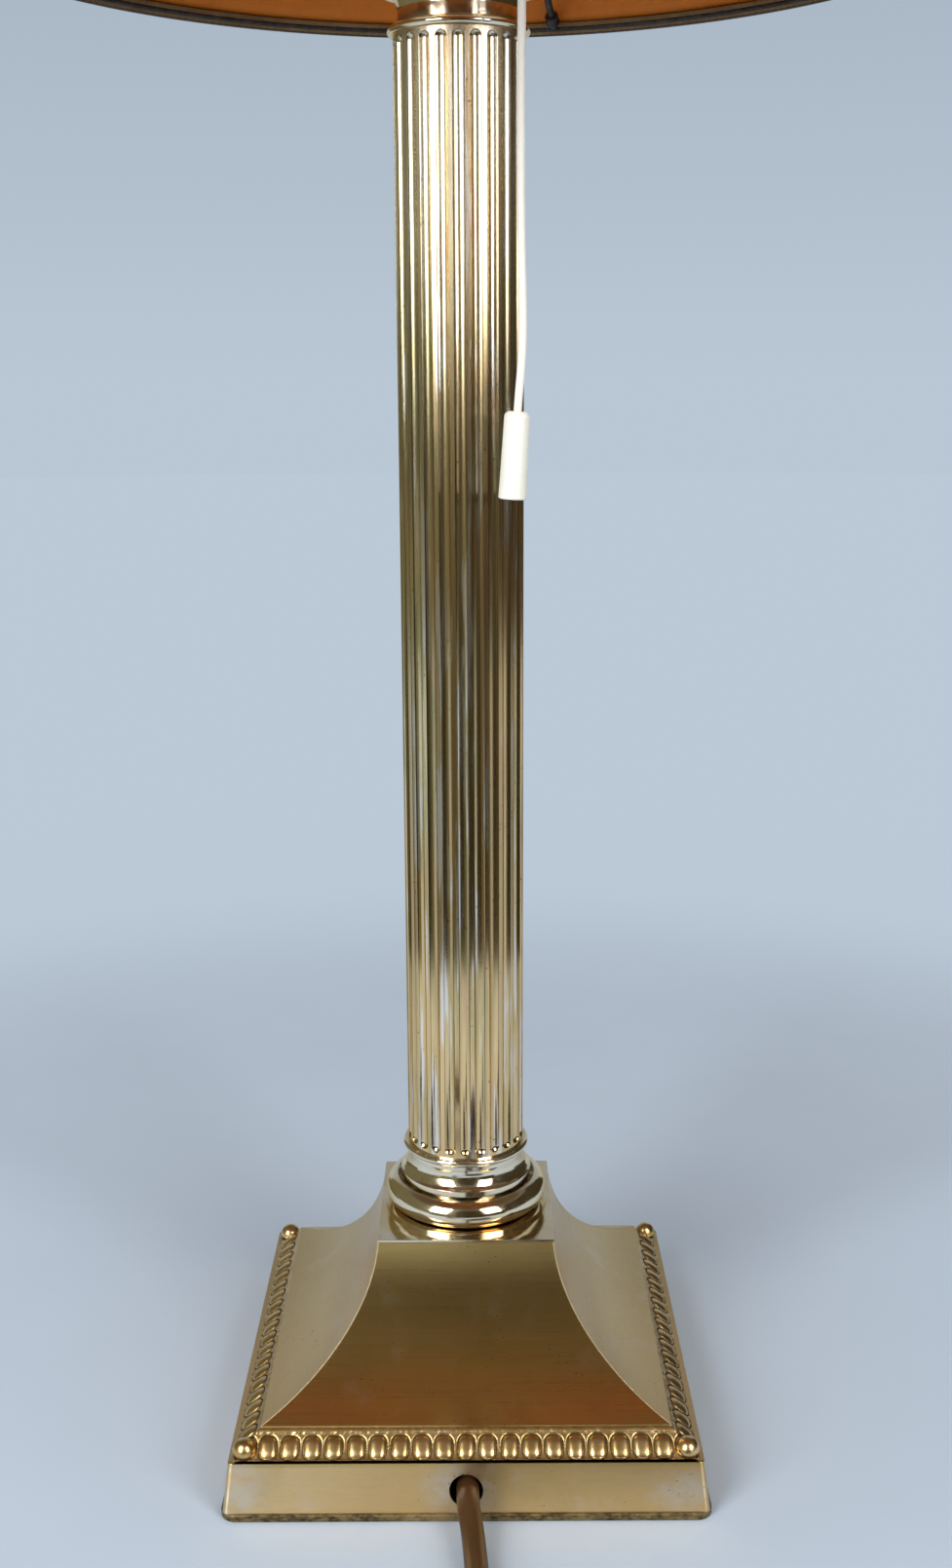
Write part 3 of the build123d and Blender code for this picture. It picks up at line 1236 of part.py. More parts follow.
# ---------------------------------------------------------------- all pieces
pieces = {
    "felt_pad": felt_pad(),
    "base_tray": base_tray(),
    "tray_screws": screws(tray_screw_spots(), TRAY_SCREW, tray_screw_length()),
    "ballast": ballast(),
    "ballast_screws": screws(ballast_screw_spots(), BALLAST_SCREW, ballast_screw_length()),
    "cord_anchor": cord_anchor(),
    "plinth": plinth(),
    "bead_border": bead_border(),
    "pyramid": pyramid(),
    "top_plate": top_plate(),
    "clamp_washer": clamp_washer(),
    "bottom_nut": hexagon(clamp_low - NUT_THICK, clamp_low),
    "tie_tube": sleeve(TIE_RADIUS, TIE_RADIUS - TIE_WALL, tie_low, tie_high),
    "column_base": column_base(),
    "fluted_column": fluted_column(),
    "capital": capital(),
    "abacus": abacus(),
    "holder_cup": holder_cup(),
    "locknut": hexagon(cup_top, holder_low),
    "holder_cap": holder_cap(),
    "holder_shell": holder_shell(),
    "switch_body": switch_body(),
    "switch_rotor": switch_rotor(),
    "pivot_pin": pivot_pin(),
    "switch_lever": switch_lever(),
    "terminal_block": terminal_block(),
    "terminal_screws": terminal_screws(),
    "centre_contact": centre_contact(),
    "threaded_skirt": threaded_skirt(),
    "screw_shell": screw_shell(),
    "bulb_cap": bulb_cap(),
    "bulb_glass": bulb_glass(),
    "fitter_ring": fitter_ring(),
    "shade_nut": shade_nut(),
    "shade_cover": shade_cover(),
    "shade_lining": shade_lining(),
    "bottom_wire": rim_wire(rim_low, 1),
    "top_wire": rim_wire(shade_top, -1),
    "bottom_trim": bottom_trim(),
    "top_trim": trim(shade_top, -1, TOP_TRIM_HEIGHT),
    "shade_arms": shade_arms(),
    "arm_ferrules": arm_ferrules(),
    "pull_cord": routed_tube("pull_cord", pull_points(), PULL_CORD),
    "cord_knots": cord_knots(),
    "pull_knob": pull_knob(),
    "cord_sheath": cord_sheath(),
    "live_core": core(CORE_TURNS[0]),
    "neutral_core": core(CORE_TURNS[1]),
    "earth_core": core(CORE_TURNS[2]),
    "mains_cord": mains_cord(),
    "cord_coil": cord_coil(),
    "coil_strap": coil_strap(),
    "plug_lead": plug_lead(),
    "plug_boot": plug_boot(),
    "plug_body": plug_body(),
    "plug_pins": plug_pins(),
    "plug_earth": plug_earth(),
}
swing_rise = 2 * lever_run * math.tan(math.radians(LEVER_SWING / 2))
lever_ratio = math.radians(LEVER_SWING) * 1000 / swing_rise
print("eye height", round(eye_height, 2), "lever ratio", round(lever_ratio, 3), "top", shade_top)
for name, piece in pieces.items():
    export_step(piece, f"parts/{name}.step")
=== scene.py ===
"""Column table lamp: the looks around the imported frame. Everything is in metres, in the frame's own axes."""
import json
import math
import random

import bpy
import numpy as np
from mathutils import Matrix, Vector, noise


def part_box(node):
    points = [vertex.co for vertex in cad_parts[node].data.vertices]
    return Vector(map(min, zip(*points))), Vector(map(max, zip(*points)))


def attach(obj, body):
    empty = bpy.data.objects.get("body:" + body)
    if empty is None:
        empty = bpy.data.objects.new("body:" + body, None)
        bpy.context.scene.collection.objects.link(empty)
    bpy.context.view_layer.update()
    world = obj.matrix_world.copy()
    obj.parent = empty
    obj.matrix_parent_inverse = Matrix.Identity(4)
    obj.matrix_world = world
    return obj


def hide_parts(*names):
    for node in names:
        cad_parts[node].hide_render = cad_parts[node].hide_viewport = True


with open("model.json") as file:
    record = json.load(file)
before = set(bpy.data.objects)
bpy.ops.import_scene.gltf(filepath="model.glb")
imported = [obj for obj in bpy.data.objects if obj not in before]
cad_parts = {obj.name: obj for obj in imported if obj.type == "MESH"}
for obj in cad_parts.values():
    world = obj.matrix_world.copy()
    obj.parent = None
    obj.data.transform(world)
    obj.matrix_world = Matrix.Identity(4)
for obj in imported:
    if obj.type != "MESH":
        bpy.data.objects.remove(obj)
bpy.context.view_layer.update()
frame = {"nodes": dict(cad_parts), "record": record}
nodes = frame["nodes"]
MM = 0.001


def placed(name, data):
    """A new object in the scene with that data."""
    obj = bpy.data.objects.new(name, data)
    bpy.context.scene.collection.objects.link(obj)
    return obj


# ---------------------------------------------------------------- camera
FOCAL_PIXELS = 1746.93
FRAME_HEIGHT = 1609     # the longer side of the picture, which the sensor's width spans
SENSOR = 36
CAMERA_AT = [side * MM for side in (4.045, -534.384, 343.08)]
LOOKS_DOWN = 13.3895    # degrees
LEANS = -0.2724

camera_data = bpy.data.cameras.new("camera")
camera_data.sensor_width = SENSOR
camera_data.lens = FOCAL_PIXELS * SENSOR / FRAME_HEIGHT
camera_data.clip_start = 0.02
camera_data.clip_end = 60
camera = placed("camera", camera_data)
tilt = Matrix.Rotation(math.radians(90 - LOOKS_DOWN), 4, "X") @ Matrix.Rotation(math.radians(LEANS), 4, "Z")
camera.matrix_world = Matrix.Translation(CAMERA_AT) @ tilt
bpy.context.scene.camera = camera


# ---------------------------------------------------------------- shader helper
SOCKETS = {
    "color": "Base Color", "metal": "Metallic", "rough": "Roughness", "specular": "Specular IOR Level",
    "edge_tint": "Specular Tint", "stretch": "Anisotropic", "tangent": "Tangent", "sheen": "Sheen Weight",
    "coat": "Coat Weight", "coat_rough": "Coat Roughness", "sub": "Subsurface Weight",
    "sub_scale": "Subsurface Scale",
}


class Skin:
    """One procedural material, with short names for the nodes that it uses."""

    def __init__(self, name, **values):
        self.material = bpy.data.materials.new(name)
        self.material.use_nodes = True
        self.tree = self.material.node_tree
        self.tree.nodes.clear()
        self.output = self.add("OutputMaterial")
        self.shader = self.add("BsdfPrincipled")
        self.tree.links.new(self.shader.outputs[0], self.output.inputs["Surface"])
        self.place = self.add("TexCoord").outputs["Object"]
        split = self.add("SeparateXYZ", Vector=self.place)
        self.x, self.y, self.z = split.outputs
        self.normal = None
        for key, value in values.items():
            self.set(key, value)

    def add(self, kind, settings=None, **inputs):
        node = self.tree.nodes.new("ShaderNode" + kind)
        for key, value in (settings or {}).items():
            setattr(node, key, value)
        for key, value in inputs.items():
            self.plug(node.inputs[key], value)
        return node

    def plug(self, socket, value):
        if isinstance(value, bpy.types.NodeSocket):
            self.tree.links.new(value, socket)
        elif socket.type == "RGBA" and len(value) == 3:
            socket.default_value = (*value, 1)
        else:
            socket.default_value = value

    def set(self, key, value):
        self.plug(self.shader.inputs[SOCKETS[key]], value)

    def math(self, kind, a, b=0.0, clamp=False):
        node = self.add("Math", {"operation": kind, "use_clamp": clamp})
        self.plug(node.inputs[0], a)
        self.plug(node.inputs[1], b)
        return node.outputs[0]

    def plus(self, a, b, clamp=False):
        return self.math("ADD", a, b, clamp)

    def minus(self, a, b):
        return self.math("SUBTRACT", a, b)

    def times(self, a, b):
        return self.math("MULTIPLY", a, b)

    def size(self, a):
        return self.math("ABSOLUTE", a)

    def wave(self, a, length):
        """Sine of a value that repeats over that length."""
        return self.math("SINE", self.times(a, 2 * math.pi / length))

    def scaled(self, stretch, shift=(0, 0, 0)):
        node = self.add("VectorMath", {"operation": "MULTIPLY_ADD"})
        for socket, value in zip(node.inputs, (self.place, stretch, shift)):
            self.plug(socket, value)
        return node.outputs[0]

    def noise(self, scale, detail=3, rough=0.5, stretch=(1, 1, 1), shift=(0, 0, 0), twist=0.0):
        sizes = {"Scale": scale, "Detail": detail, "Roughness": rough, "Distortion": twist}
        return self.add("TexNoise", Vector=self.scaled(stretch, shift), **sizes).outputs[0]

    def cells(self, scale, feature="F1", stretch=(1, 1, 1), shift=(0, 0, 0)):
        node = self.add("TexVoronoi", {"feature": feature}, Vector=self.scaled(stretch, shift), Scale=scale)
        return node.outputs["Distance"]

    def smooth(self, value, low, high, out_low=0.0, out_high=1.0):
        node = self.add("MapRange", {"interpolation_type": "SMOOTHSTEP"}, Value=value)
        for key, number in (("From Min", low), ("From Max", high), ("To Min", out_low), ("To Max", out_high)):
            self.plug(node.inputs[key], number)
        return node.outputs[0]

    def falls(self, value, low, high):
        """1 up to low, down to 0 at high."""
        return self.smooth(value, low, high, 1.0, 0.0)

    def mix(self, share, a, b):
        node = self.add("Mix", {"data_type": "RGBA"})
        for socket, value in ((node.inputs[0], share), (node.inputs[6], a), (node.inputs[7], b)):
            self.plug(socket, value)
        return node.outputs[2]

    def radius(self):
        """Distance from the lamp's axis."""
        return self.math("SQRT", self.plus(self.times(self.x, self.x), self.times(self.y, self.y)))

    def near(self, point, inner, outer, squash=(1, 1, 1)):
        """1 within inner metres of a point, 0 beyond outer."""
        shift = [-p * s for p, s in zip(point, squash)]
        node = self.add("VectorMath", {"operation": "LENGTH"}, Vector=self.scaled(squash, shift))
        return self.falls(node.outputs["Value"], inner, outer)

    def depth(self):
        """How far each point of a mesh lies in a crevice, from 0 to 1, as store() keeps it."""
        return self.add("Attribute", {"attribute_name": "depth"}).outputs["Fac"]

    def bump(self, height, strength, distance):
        node = self.add("Bump", Height=height, Strength=strength, Distance=distance)
        if self.normal:
            self.plug(node.inputs["Normal"], self.normal)
        self.normal = node.outputs[0]
        self.plug(self.shader.inputs["Normal"], self.normal)

    def rounded(self, radius):
        """Soft corners in the shading, before any bump."""
        self.normal = self.add("Bevel", {"samples": 4}, Radius=radius).outputs[0]
        self.plug(self.shader.inputs["Normal"], self.normal)

    def cross(self, a, b):
        node = self.add("VectorMath", {"operation": "CROSS_PRODUCT"})
        self.plug(node.inputs[0], a)
        self.plug(node.inputs[1], b)
        return node.outputs[0]

    def level(self):
        """Level direction in the surface, square to its normal."""
        return self.cross((0, 0, 1), self.add("NewGeometry").outputs["Normal"])

    def upright(self):
        """Direction straight up the surface."""
        return self.cross(self.add("NewGeometry").outputs["Normal"], self.level())


# ---------------------------------------------------------------- metals
def brushed_brass():
    """Satin brass with level brush lines, pale worn places, pits and fine scratches; painted light on the
    plinth's left end and on the side faces' fronts, and painted highlights along the arrises.
    """
    s = Skin("brushed_brass", metal=1.0, stretch=0.85)
    s.set("tangent", s.upright())
    s.rounded(0.35 * MM)
    lines = s.noise(1, 3, 0.6, (12, 12, 7000))
    broad = s.noise(1, 3, 0.5, (26, 26, 160))
    cloud = s.noise(38, 4, 0.55)
    gold = s.mix(s.smooth(lines, 0.3, 0.7), (0.73, 0.51, 0.185), (0.77, 0.545, 0.205))
    # plinth's tone, lighter towards its left end: painted light
    plinth_tone_lit_left = s.mix(s.smooth(s.x, -70 * MM, -15 * MM), (1.0, 0.71, 0.38), (0.85, 0.56, 0.25))
    gold = s.mix(s.smooth(s.z, 17 * MM, 18 * MM, 0.85, 0.0), gold, plinth_tone_lit_left)
    gold = s.mix(s.smooth(broad, 0.4, 0.75, 0, 0.16), gold, (0.88, 0.66, 0.36))
    gold = s.mix(s.smooth(cloud, 0.50, 0.72, 0, 0.3), gold, (0.58, 0.40, 0.14))
    # side faces lighter towards the front and darker towards the back: painted light and shade
    ridge = s.minus(s.size(s.x), s.size(s.y))
    flank = s.smooth(ridge, -0.5 * MM, 0.5 * MM)
    side = s.mix(s.smooth(s.y, -55 * MM, 45 * MM), (0.98, 0.67, 0.36), (0.62, 0.43, 0.22))
    gold = s.mix(s.times(flank, 0.6), gold, side)
    ragged = s.noise(120, 5, 0.6, (1, 1, 1.6))
    hole = s.near((-0.002, -0.0745, 0.0105), 4 * MM, 15 * MM, (1, 0.4, 1.3))
    corner = s.near((-0.0705, -0.0745, 0.009), 2 * MM, 13 * MM, (1, 0.4, 0.75))
    right = s.near((0.0665, -0.0745, 0.0095), 1 * MM, 11 * MM, (0.75, 0.4, 1.1))
    patch = s.times(s.plus(s.plus(hole, corner), right, True), s.smooth(ragged, 0.34, 0.6))
    dusty = s.times(s.smooth(s.noise(55, 5, 0.65, shift=(3, 1, 2)), 0.55, 0.72), 0.36)
    pale = s.plus(patch, dusty, True)
    gold = s.mix(s.times(pale, 0.75), gold, (0.90, 0.80, 0.64))
    # pale line along the arrises: painted highlight
    arris_highlight = s.falls(s.size(ridge), 0.3 * MM, 0.6 * MM)
    gold = s.mix(s.times(arris_highlight, 0.85), gold, (1.0, 0.86, 0.58))
    pits = s.times(s.falls(s.cells(520), 0.06, 0.13), s.smooth(s.noise(70, 2, shift=(5, 5, 5)), 0.5, 0.62))
    gold = s.mix(pits, gold, (0.05, 0.035, 0.02))
    nicks = s.falls(s.cells(300, "DISTANCE_TO_EDGE", (1, 0.18, 0.35), (0.3, 0, 0)), 0.0, 0.012)
    nicks = s.times(nicks, s.smooth(s.noise(48, 2, shift=(9, 2, 1)), 0.58, 0.68))
    gold = s.mix(s.times(nicks, 0.35), gold, (0.85, 0.72, 0.5))
    s.set("color", gold)
    worn = s.plus(s.times(pale, 0.08), s.times(arris_highlight, 0.35))
    s.set("rough", s.plus(s.smooth(lines, 0.25, 0.75, 0.27, 0.30), worn))
    s.bump(lines, 0.02, 0.01 * MM)
    s.bump(s.plus(pits, nicks), -0.25, 0.08 * MM)
    return s.material


def bead_brass():
    """Bright gold on the beads, with painted shade in the crevices and under the corner beads."""
    s = Skin("bead_brass", metal=1.0)
    depth = s.depth()
    cloud = s.noise(160, 4, 0.6)
    gold = s.mix(s.smooth(cloud, 0.35, 0.7), (0.64, 0.43, 0.17), (0.84, 0.61, 0.31))
    stain = s.noise(420, 3, 0.6, shift=(2, 2, 2))
    gold = s.mix(s.smooth(stain, 0.55, 0.75, 0, 0.35), gold, (0.60, 0.42, 0.18))
    # darker and rougher where the mesh's crevice depth is high: painted shade
    crevice_shade = s.smooth(s.plus(depth, s.times(s.minus(cloud, 0.5), 0.35)), 0.25, 0.8)
    gold = s.mix(s.times(crevice_shade, 0.93), gold, (0.07, 0.045, 0.018))
    s.set("color", gold)
    s.set("rough", s.smooth(crevice_shade, 0, 1, 0.29, 0.55))
    s.bump(s.noise(900, 3, 0.5), 0.06, 0.04 * MM)
    return s.material


def polished_silver():
    """Polished plate worn warm in places, with specks, hairline scratches, dark seams in the grooves and
    painted shadow under the torus.
    """
    s = Skin("polished_silver", metal=1.0)
    s.set("edge_tint", (0.86, 0.74, 0.55))
    s.rounded(0.2 * MM)
    cloud = s.noise(45, 4, 0.6)
    fine = s.noise(260, 3, 0.6, shift=(4, 4, 4))
    tone = s.mix(s.smooth(cloud, 0.35, 0.68), (0.97, 0.90, 0.75), (0.93, 0.77, 0.50))
    tone = s.mix(s.smooth(s.noise(60, 3, 0.5, shift=(7, 1, 3)), 0.55, 0.72, 0, 0.5), tone, (0.82, 0.62, 0.44))
    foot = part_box("column_base")[0][2]
    r = s.radius()
    seams_and_torus_shadow = 0.0
    # dark seams and grooves of the column's base, the one 1.35 mm up being painted shadow under the torus:
    # height above its foot, reach from the axis, and width, in mm
    for rise, reach, wide in ((0.0, 27.35, 0.2), (1.35, 26.5, 0.35), (11.0, 23.4, 0.4), (21.2, 21.5, 0.45)):
        line = s.falls(s.size(s.minus(s.z, foot + rise * MM)), 0.3 * wide * MM, wide * MM)
        seams_and_torus_shadow = s.plus(seams_and_torus_shadow, s.times(line, s.falls(r, (reach - 0.5) * MM, reach * MM)), True)
    seams_and_torus_shadow = s.times(seams_and_torus_shadow, s.smooth(fine, 0.3, 0.6, 0.5, 0.95))
    tone = s.mix(seams_and_torus_shadow, tone, (0.10, 0.07, 0.03))
    specks = s.times(s.falls(s.cells(480), 0.05, 0.11), s.smooth(s.noise(90, 2, shift=(1, 8, 2)), 0.5, 0.6))
    tone = s.mix(specks, tone, (0.07, 0.05, 0.035))
    s.set("color", tone)
    s.set("rough", s.smooth(fine, 0.35, 0.75, 0.09, 0.19))
    s.bump(s.noise(70, 3, 0.55), 0.4, 0.4 * MM)
    s.bump(specks, -0.3, 0.06 * MM)
    return s.material


def worn_silver():
    """Plate rubbed through to brass, most near the foot, with olive and copper veils, painted shade by the
    fillets, painted light on the left and painted shade at the sides of the olive band.
    """
    s = Skin("worn_silver", metal=1.0, stretch=0.78)
    s.set("tangent", s.level())
    s.set("edge_tint", (0.80, 0.66, 0.42))
    r = s.radius()
    # the flutes' edges by the fillets: painted shade
    edge_shade = s.times(s.smooth(r, 18.9 * MM, 19.16 * MM), s.falls(r, 19.2 * MM, 19.33 * MM))
    streak = s.noise(1, 3, 0.55, (420, 420, 5))
    drip = s.noise(1, 4, 0.6, (240, 240, 16), (3, 1, 0))
    broad = s.noise(1, 3, 0.5, (70, 70, 12), (1, 2, 3))
    brassy = s.falls(s.plus(s.z, s.times(broad, 0.12)), 0.34, 0.52)
    grain = s.smooth(streak, 0.35, 0.65)
    plate = s.mix(grain, (0.96, 0.90, 0.76), (0.92, 0.80, 0.55))
    brass = s.mix(grain, (0.96, 0.71, 0.37), (0.87, 0.60, 0.29))
    # paler brass on the column's left side, above its foot: painted light
    green = s.times(s.smooth(s.x, -16 * MM, 4 * MM, 0.75, 0.0), s.smooth(s.z, 0.17, 0.25))
    brass = s.mix(green, brass, (0.98, 0.90, 0.60))
    tone = s.mix(brassy, plate, brass)
    # flutes that are darker than their neighbours, then the veils and worn places over all of them
    each = s.smooth(s.noise(1, 2, 0.5, (170, 170, 1.5), (6, 3, 9)), 0.38, 0.6, 0.55, 0.0)
    each = s.times(each, s.smooth(s.z, 0.10, 0.18, 0.45, 1.0))
    tone = s.mix(s.times(each, s.smooth(s.z, 0.30, 0.38, 1.0, 0.35)), tone, (0.50, 0.36, 0.19))
    low = s.smooth(s.z, 0.34, 0.40, 1.0, 0.3)
    # olive band, darker at the column's sides than at its front: tarnish and painted shade
    olive_veil_side_shade = s.times(s.smooth(s.z, 0.285, 0.325), s.falls(s.z, 0.345, 0.39))
    olive_veil_side_shade = s.times(olive_veil_side_shade, s.smooth(s.size(s.x), 3 * MM, 9 * MM, 0.3, 1.0))
    tone = s.mix(s.times(olive_veil_side_shade, s.smooth(drip, 0.3, 0.6, 0.6, 0.9)), tone, (0.42, 0.38, 0.23))
    olive = s.times(s.smooth(drip, 0.46, 0.62), s.smooth(s.x, -8 * MM, 14 * MM, 0.8, 0.5))
    tone = s.mix(s.times(olive, s.times(low, 0.75)), tone, (0.46, 0.41, 0.19))
    copper = s.smooth(s.noise(1, 3, 0.6, (210, 210, 24), (8, 8, 1)), 0.55, 0.66, 0, 0.6)
    copper = s.times(copper, s.smooth(s.x, -14 * MM, 6 * MM, 0.4, 1.0))
    tone = s.mix(copper, tone, (0.76, 0.48, 0.27))
    bare = s.smooth(s.noise(1, 3, 0.6, (300, 300, 18), (5, 2, 6)), 0.54, 0.62, 0, 0.75)
    tone = s.mix(bare, tone, (0.97, 0.91, 0.84))
    # painted shade by the fillets, patchy along them
    tone = s.mix(s.times(edge_shade, s.smooth(drip, 0.35, 0.6, 0.45, 0.9)), tone, (0.10, 0.07, 0.035))
    specks = s.times(s.falls(s.cells(360), 0.06, 0.14), s.smooth(s.noise(60, 2, shift=(2, 3, 8)), 0.48, 0.6))
    tone = s.mix(s.times(specks, 0.9), tone, (0.06, 0.045, 0.03))
    s.set("color", tone)
    s.set("rough", s.times(s.smooth(drip, 0.4, 0.7, 0.2, 0.26), s.smooth(s.z, 0.12, 0.25, 0.6, 1.0)))
    s.bump(s.noise(1, 2, 0.5, (110, 110, 9), (4, 0, 2)), 0.06, 0.4 * MM)
    s.bump(specks, -0.4, 0.06 * MM)
    return s.material


def tray_bronze():
    """Dark, uneven, olive-brown edge of the bottom tray."""
    s = Skin("tray_bronze", metal=0.75)
    crust = s.noise(330, 6, 0.7, (1, 1, 2))
    cloud = s.noise(60, 4, 0.6, shift=(1, 4, 1))
    tone = s.mix(s.smooth(crust, 0.38, 0.62), (0.06, 0.042, 0.018), (0.25, 0.185, 0.08))
    tone = s.mix(s.smooth(cloud, 0.5, 0.7, 0, 0.7), tone, (0.40, 0.285, 0.13))
    s.set("color", tone)
    s.set("rough", s.smooth(crust, 0.3, 0.7, 0.62, 0.38))
    s.bump(crust, 0.6, 0.35 * MM)
    return s.material


def plain_metal(name, dark, light, rough=(0.25, 0.4), metal=1.0, grain=(300, 300, 300), depth=0.1):
    """A metal with a grain and uneven tone: cast, plated, drawn or lacquered."""
    s = Skin(name, metal=metal)
    grain_noise = s.noise(1, 4, 0.6, grain)
    cloud = s.noise(80, 3, 0.55, shift=(2, 5, 7))
    tone = s.mix(s.smooth(grain_noise, 0.3, 0.7), dark, light)
    tone = s.mix(s.smooth(cloud, 0.5, 0.75, 0, 0.4), tone, [c * 0.7 for c in dark])
    s.set("color", tone)
    s.set("rough", s.smooth(grain_noise, 0.3, 0.7, *rough))
    s.bump(grain_noise, 0.3, depth * MM)
    return s.material


# ---------------------------------------------------------------- everything that is not metal
def moulded(name, color, shade, rough=(0.3, 0.42), sub=0.0, grain=900.0, depth=0.05):
    """Moulded plastic, rubber or glazed ceramic: a faint mottle, a fine skin and soft corners."""
    s = Skin(name, sub=sub)
    s.rounded(0.25 * MM)
    if sub:
        s.set("sub_scale", 2.0 * MM)
    mottle = s.noise(45, 4, 0.6)
    fine = s.noise(grain, 3, 0.6, shift=(1, 1, 4))
    s.set("color", s.mix(s.smooth(mottle, 0.3, 0.72), color, shade))
    s.set("rough", s.smooth(fine, 0.3, 0.7, *rough))
    s.bump(fine, 0.2, depth * MM)
    return s.material


def felt():
    """Dark green wool felt with loose fibres."""
    s = Skin("felt", sheen=0.6)
    fibres = s.noise(1500, 6, 0.75, twist=1.5)
    cloud = s.noise(70, 4, 0.6)
    tone = s.mix(s.smooth(fibres, 0.35, 0.65), (0.022, 0.055, 0.036), (0.07, 0.16, 0.105))
    s.set("color", s.mix(s.smooth(cloud, 0.5, 0.72, 0, 0.4), tone, (0.05, 0.10, 0.07)))
    s.set("rough", s.smooth(fibres, 0.3, 0.7, 0.85, 0.98))
    s.bump(fibres, 0.8, 0.35 * MM)
    return s.material


def opal_glass():
    """White glass of the bulb, glossy over a milky body."""
    s = Skin("opal_glass", sub=0.6, coat=0.6, coat_rough=0.04)
    s.set("sub_scale", 3.0 * MM)
    cloud = s.noise(60, 3, 0.5)
    s.set("color", s.mix(s.smooth(cloud, 0.3, 0.7), (0.90, 0.89, 0.86), (0.86, 0.85, 0.81)))
    s.set("rough", s.smooth(s.noise(200, 2), 0.3, 0.7, 0.16, 0.22))
    return s.material


def shade_cloth():
    """Laminated cloth: a slubbed plain weave in warm straw, with threads round the shade and up it."""
    s = Skin("shade_cloth", sheen=0.25)
    across = s.wave(s.math("ARCTAN2", s.y, s.x), 1 / 150)
    weave = s.plus(s.times(s.times(across, s.wave(s.z, 0.9 * MM)), 0.25), 0.5)
    slub = s.noise(1, 4, 0.6, (30, 30, 900))
    drop = s.noise(1, 3, 0.6, (380, 380, 16), (2, 2, 2))
    thread = s.times(s.plus(slub, drop), 0.5)
    tone = s.mix(s.smooth(thread, 0.38, 0.62), (0.46, 0.33, 0.18), (0.70, 0.55, 0.35))
    tone = s.mix(s.smooth(weave, 0.3, 0.7, 0, 0.35), tone, (0.78, 0.64, 0.43))
    tone = s.mix(s.smooth(s.noise(12, 4, 0.5), 0.5, 0.75, 0, 0.35), tone, (0.52, 0.38, 0.21))
    s.set("color", tone)
    s.set("rough", s.smooth(weave, 0.2, 0.8, 0.9, 0.7))
    s.bump(weave, 0.5, 0.15 * MM)
    s.bump(thread, 0.5, 0.2 * MM)
    return s.material


def shade_inside():
    """Smooth copper-orange lining, a little mottled."""
    s = Skin("shade_inside", specular=0.2)
    cloud = s.noise(22, 4, 0.55)
    fine = s.noise(260, 4, 0.6, (1, 1, 0.5))
    tone = s.mix(s.smooth(cloud, 0.3, 0.7), (0.62, 0.165, 0.012), (0.70, 0.205, 0.02))
    tone = s.mix(s.smooth(fine, 0.5, 0.75, 0, 0.25), tone, (0.40, 0.13, 0.03))
    s.set("color", tone)
    s.set("rough", s.smooth(fine, 0.3, 0.7, 0.42, 0.55))
    s.bump(fine, 0.2, 0.1 * MM)
    return s.material


def shade_binding():
    """Ribbed binding, brown-gold, with painted shade along its edges and in the ribs' valleys; the ribs are in
    the mesh.
    """
    s = Skin("shade_binding", specular=0.25)
    depth = s.depth()
    cloud = s.noise(70, 4, 0.6)
    tone = s.mix(s.smooth(cloud, 0.3, 0.7), (0.15, 0.085, 0.03), (0.23, 0.14, 0.055))
    # painted shade by the stored depth
    tone = s.mix(s.smooth(depth, 0.35, 0.85), tone, (0.06, 0.032, 0.012))
    s.set("color", tone)
    s.set("rough", s.smooth(s.noise(500, 3), 0.3, 0.7, 0.5, 0.7))
    s.bump(s.noise(1800, 3, 0.6), 0.3, 0.06 * MM)
    return s.material


def braid():
    """Cream braided cord, with painted shade in the valleys between strands; the braid's relief is in the
    mesh.
    """
    s = Skin("braid", sheen=0.3)
    depth = s.depth()
    fibre = s.noise(2600, 3, 0.6)
    tone = s.mix(s.smooth(fibre, 0.3, 0.7), (0.84, 0.80, 0.68), (0.92, 0.89, 0.79))
    # painted shade between the strands
    tone = s.mix(s.smooth(depth, 0.3, 0.95, 0, 0.6), tone, (0.42, 0.34, 0.22))
    s.set("color", tone)
    s.set("rough", s.smooth(fibre, 0.3, 0.7, 0.65, 0.85))
    s.bump(fibre, 0.4, 0.05 * MM)
    return s.material


def flex():
    """Smooth brown sheath with a soft shine and rubbed, dusty places."""
    s = Skin("flex", specular=0.38)
    cloud = s.noise(28, 4, 0.6)
    fine = s.noise(900, 4, 0.6)
    tone = s.mix(s.smooth(cloud, 0.3, 0.7), (0.052, 0.022, 0.006), (0.075, 0.033, 0.010))
    tone = s.mix(s.smooth(fine, 0.55, 0.8, 0, 0.3), tone, (0.12, 0.06, 0.025))
    s.set("color", tone)
    s.set("rough", s.smooth(cloud, 0.3, 0.7, 0.36, 0.48))
    s.bump(fine, 0.15, 0.04 * MM)
    return s.material


def webbing():
    """Near-black woven strap."""
    s = Skin("webbing", sheen=0.3)
    across, along = s.wave(s.y, 0.8 * MM), s.wave(s.plus(s.x, s.z), 0.9 * MM)
    weave = s.plus(s.times(s.times(across, along), 0.25), 0.5)
    s.set("color", s.mix(s.smooth(weave, 0.3, 0.7), (0.03, 0.03, 0.032), (0.085, 0.085, 0.09)))
    s.set("rough", s.smooth(weave, 0.2, 0.8, 0.9, 0.7))
    s.bump(weave, 0.6, 0.15 * MM)
    return s.material


def earth_stripe():
    """Green insulation with a yellow stripe along it."""
    s = Skin("core_earth_striped")
    turn = s.wave(s.plus(s.x, s.y), 2.2 * MM)
    s.set("color", s.mix(s.smooth(turn, -0.05, 0.05), (0.11, 0.34, 0.05), (0.72, 0.62, 0.05)))
    s.set("rough", s.smooth(s.noise(700, 3), 0.3, 0.7, 0.32, 0.45))
    return s.material


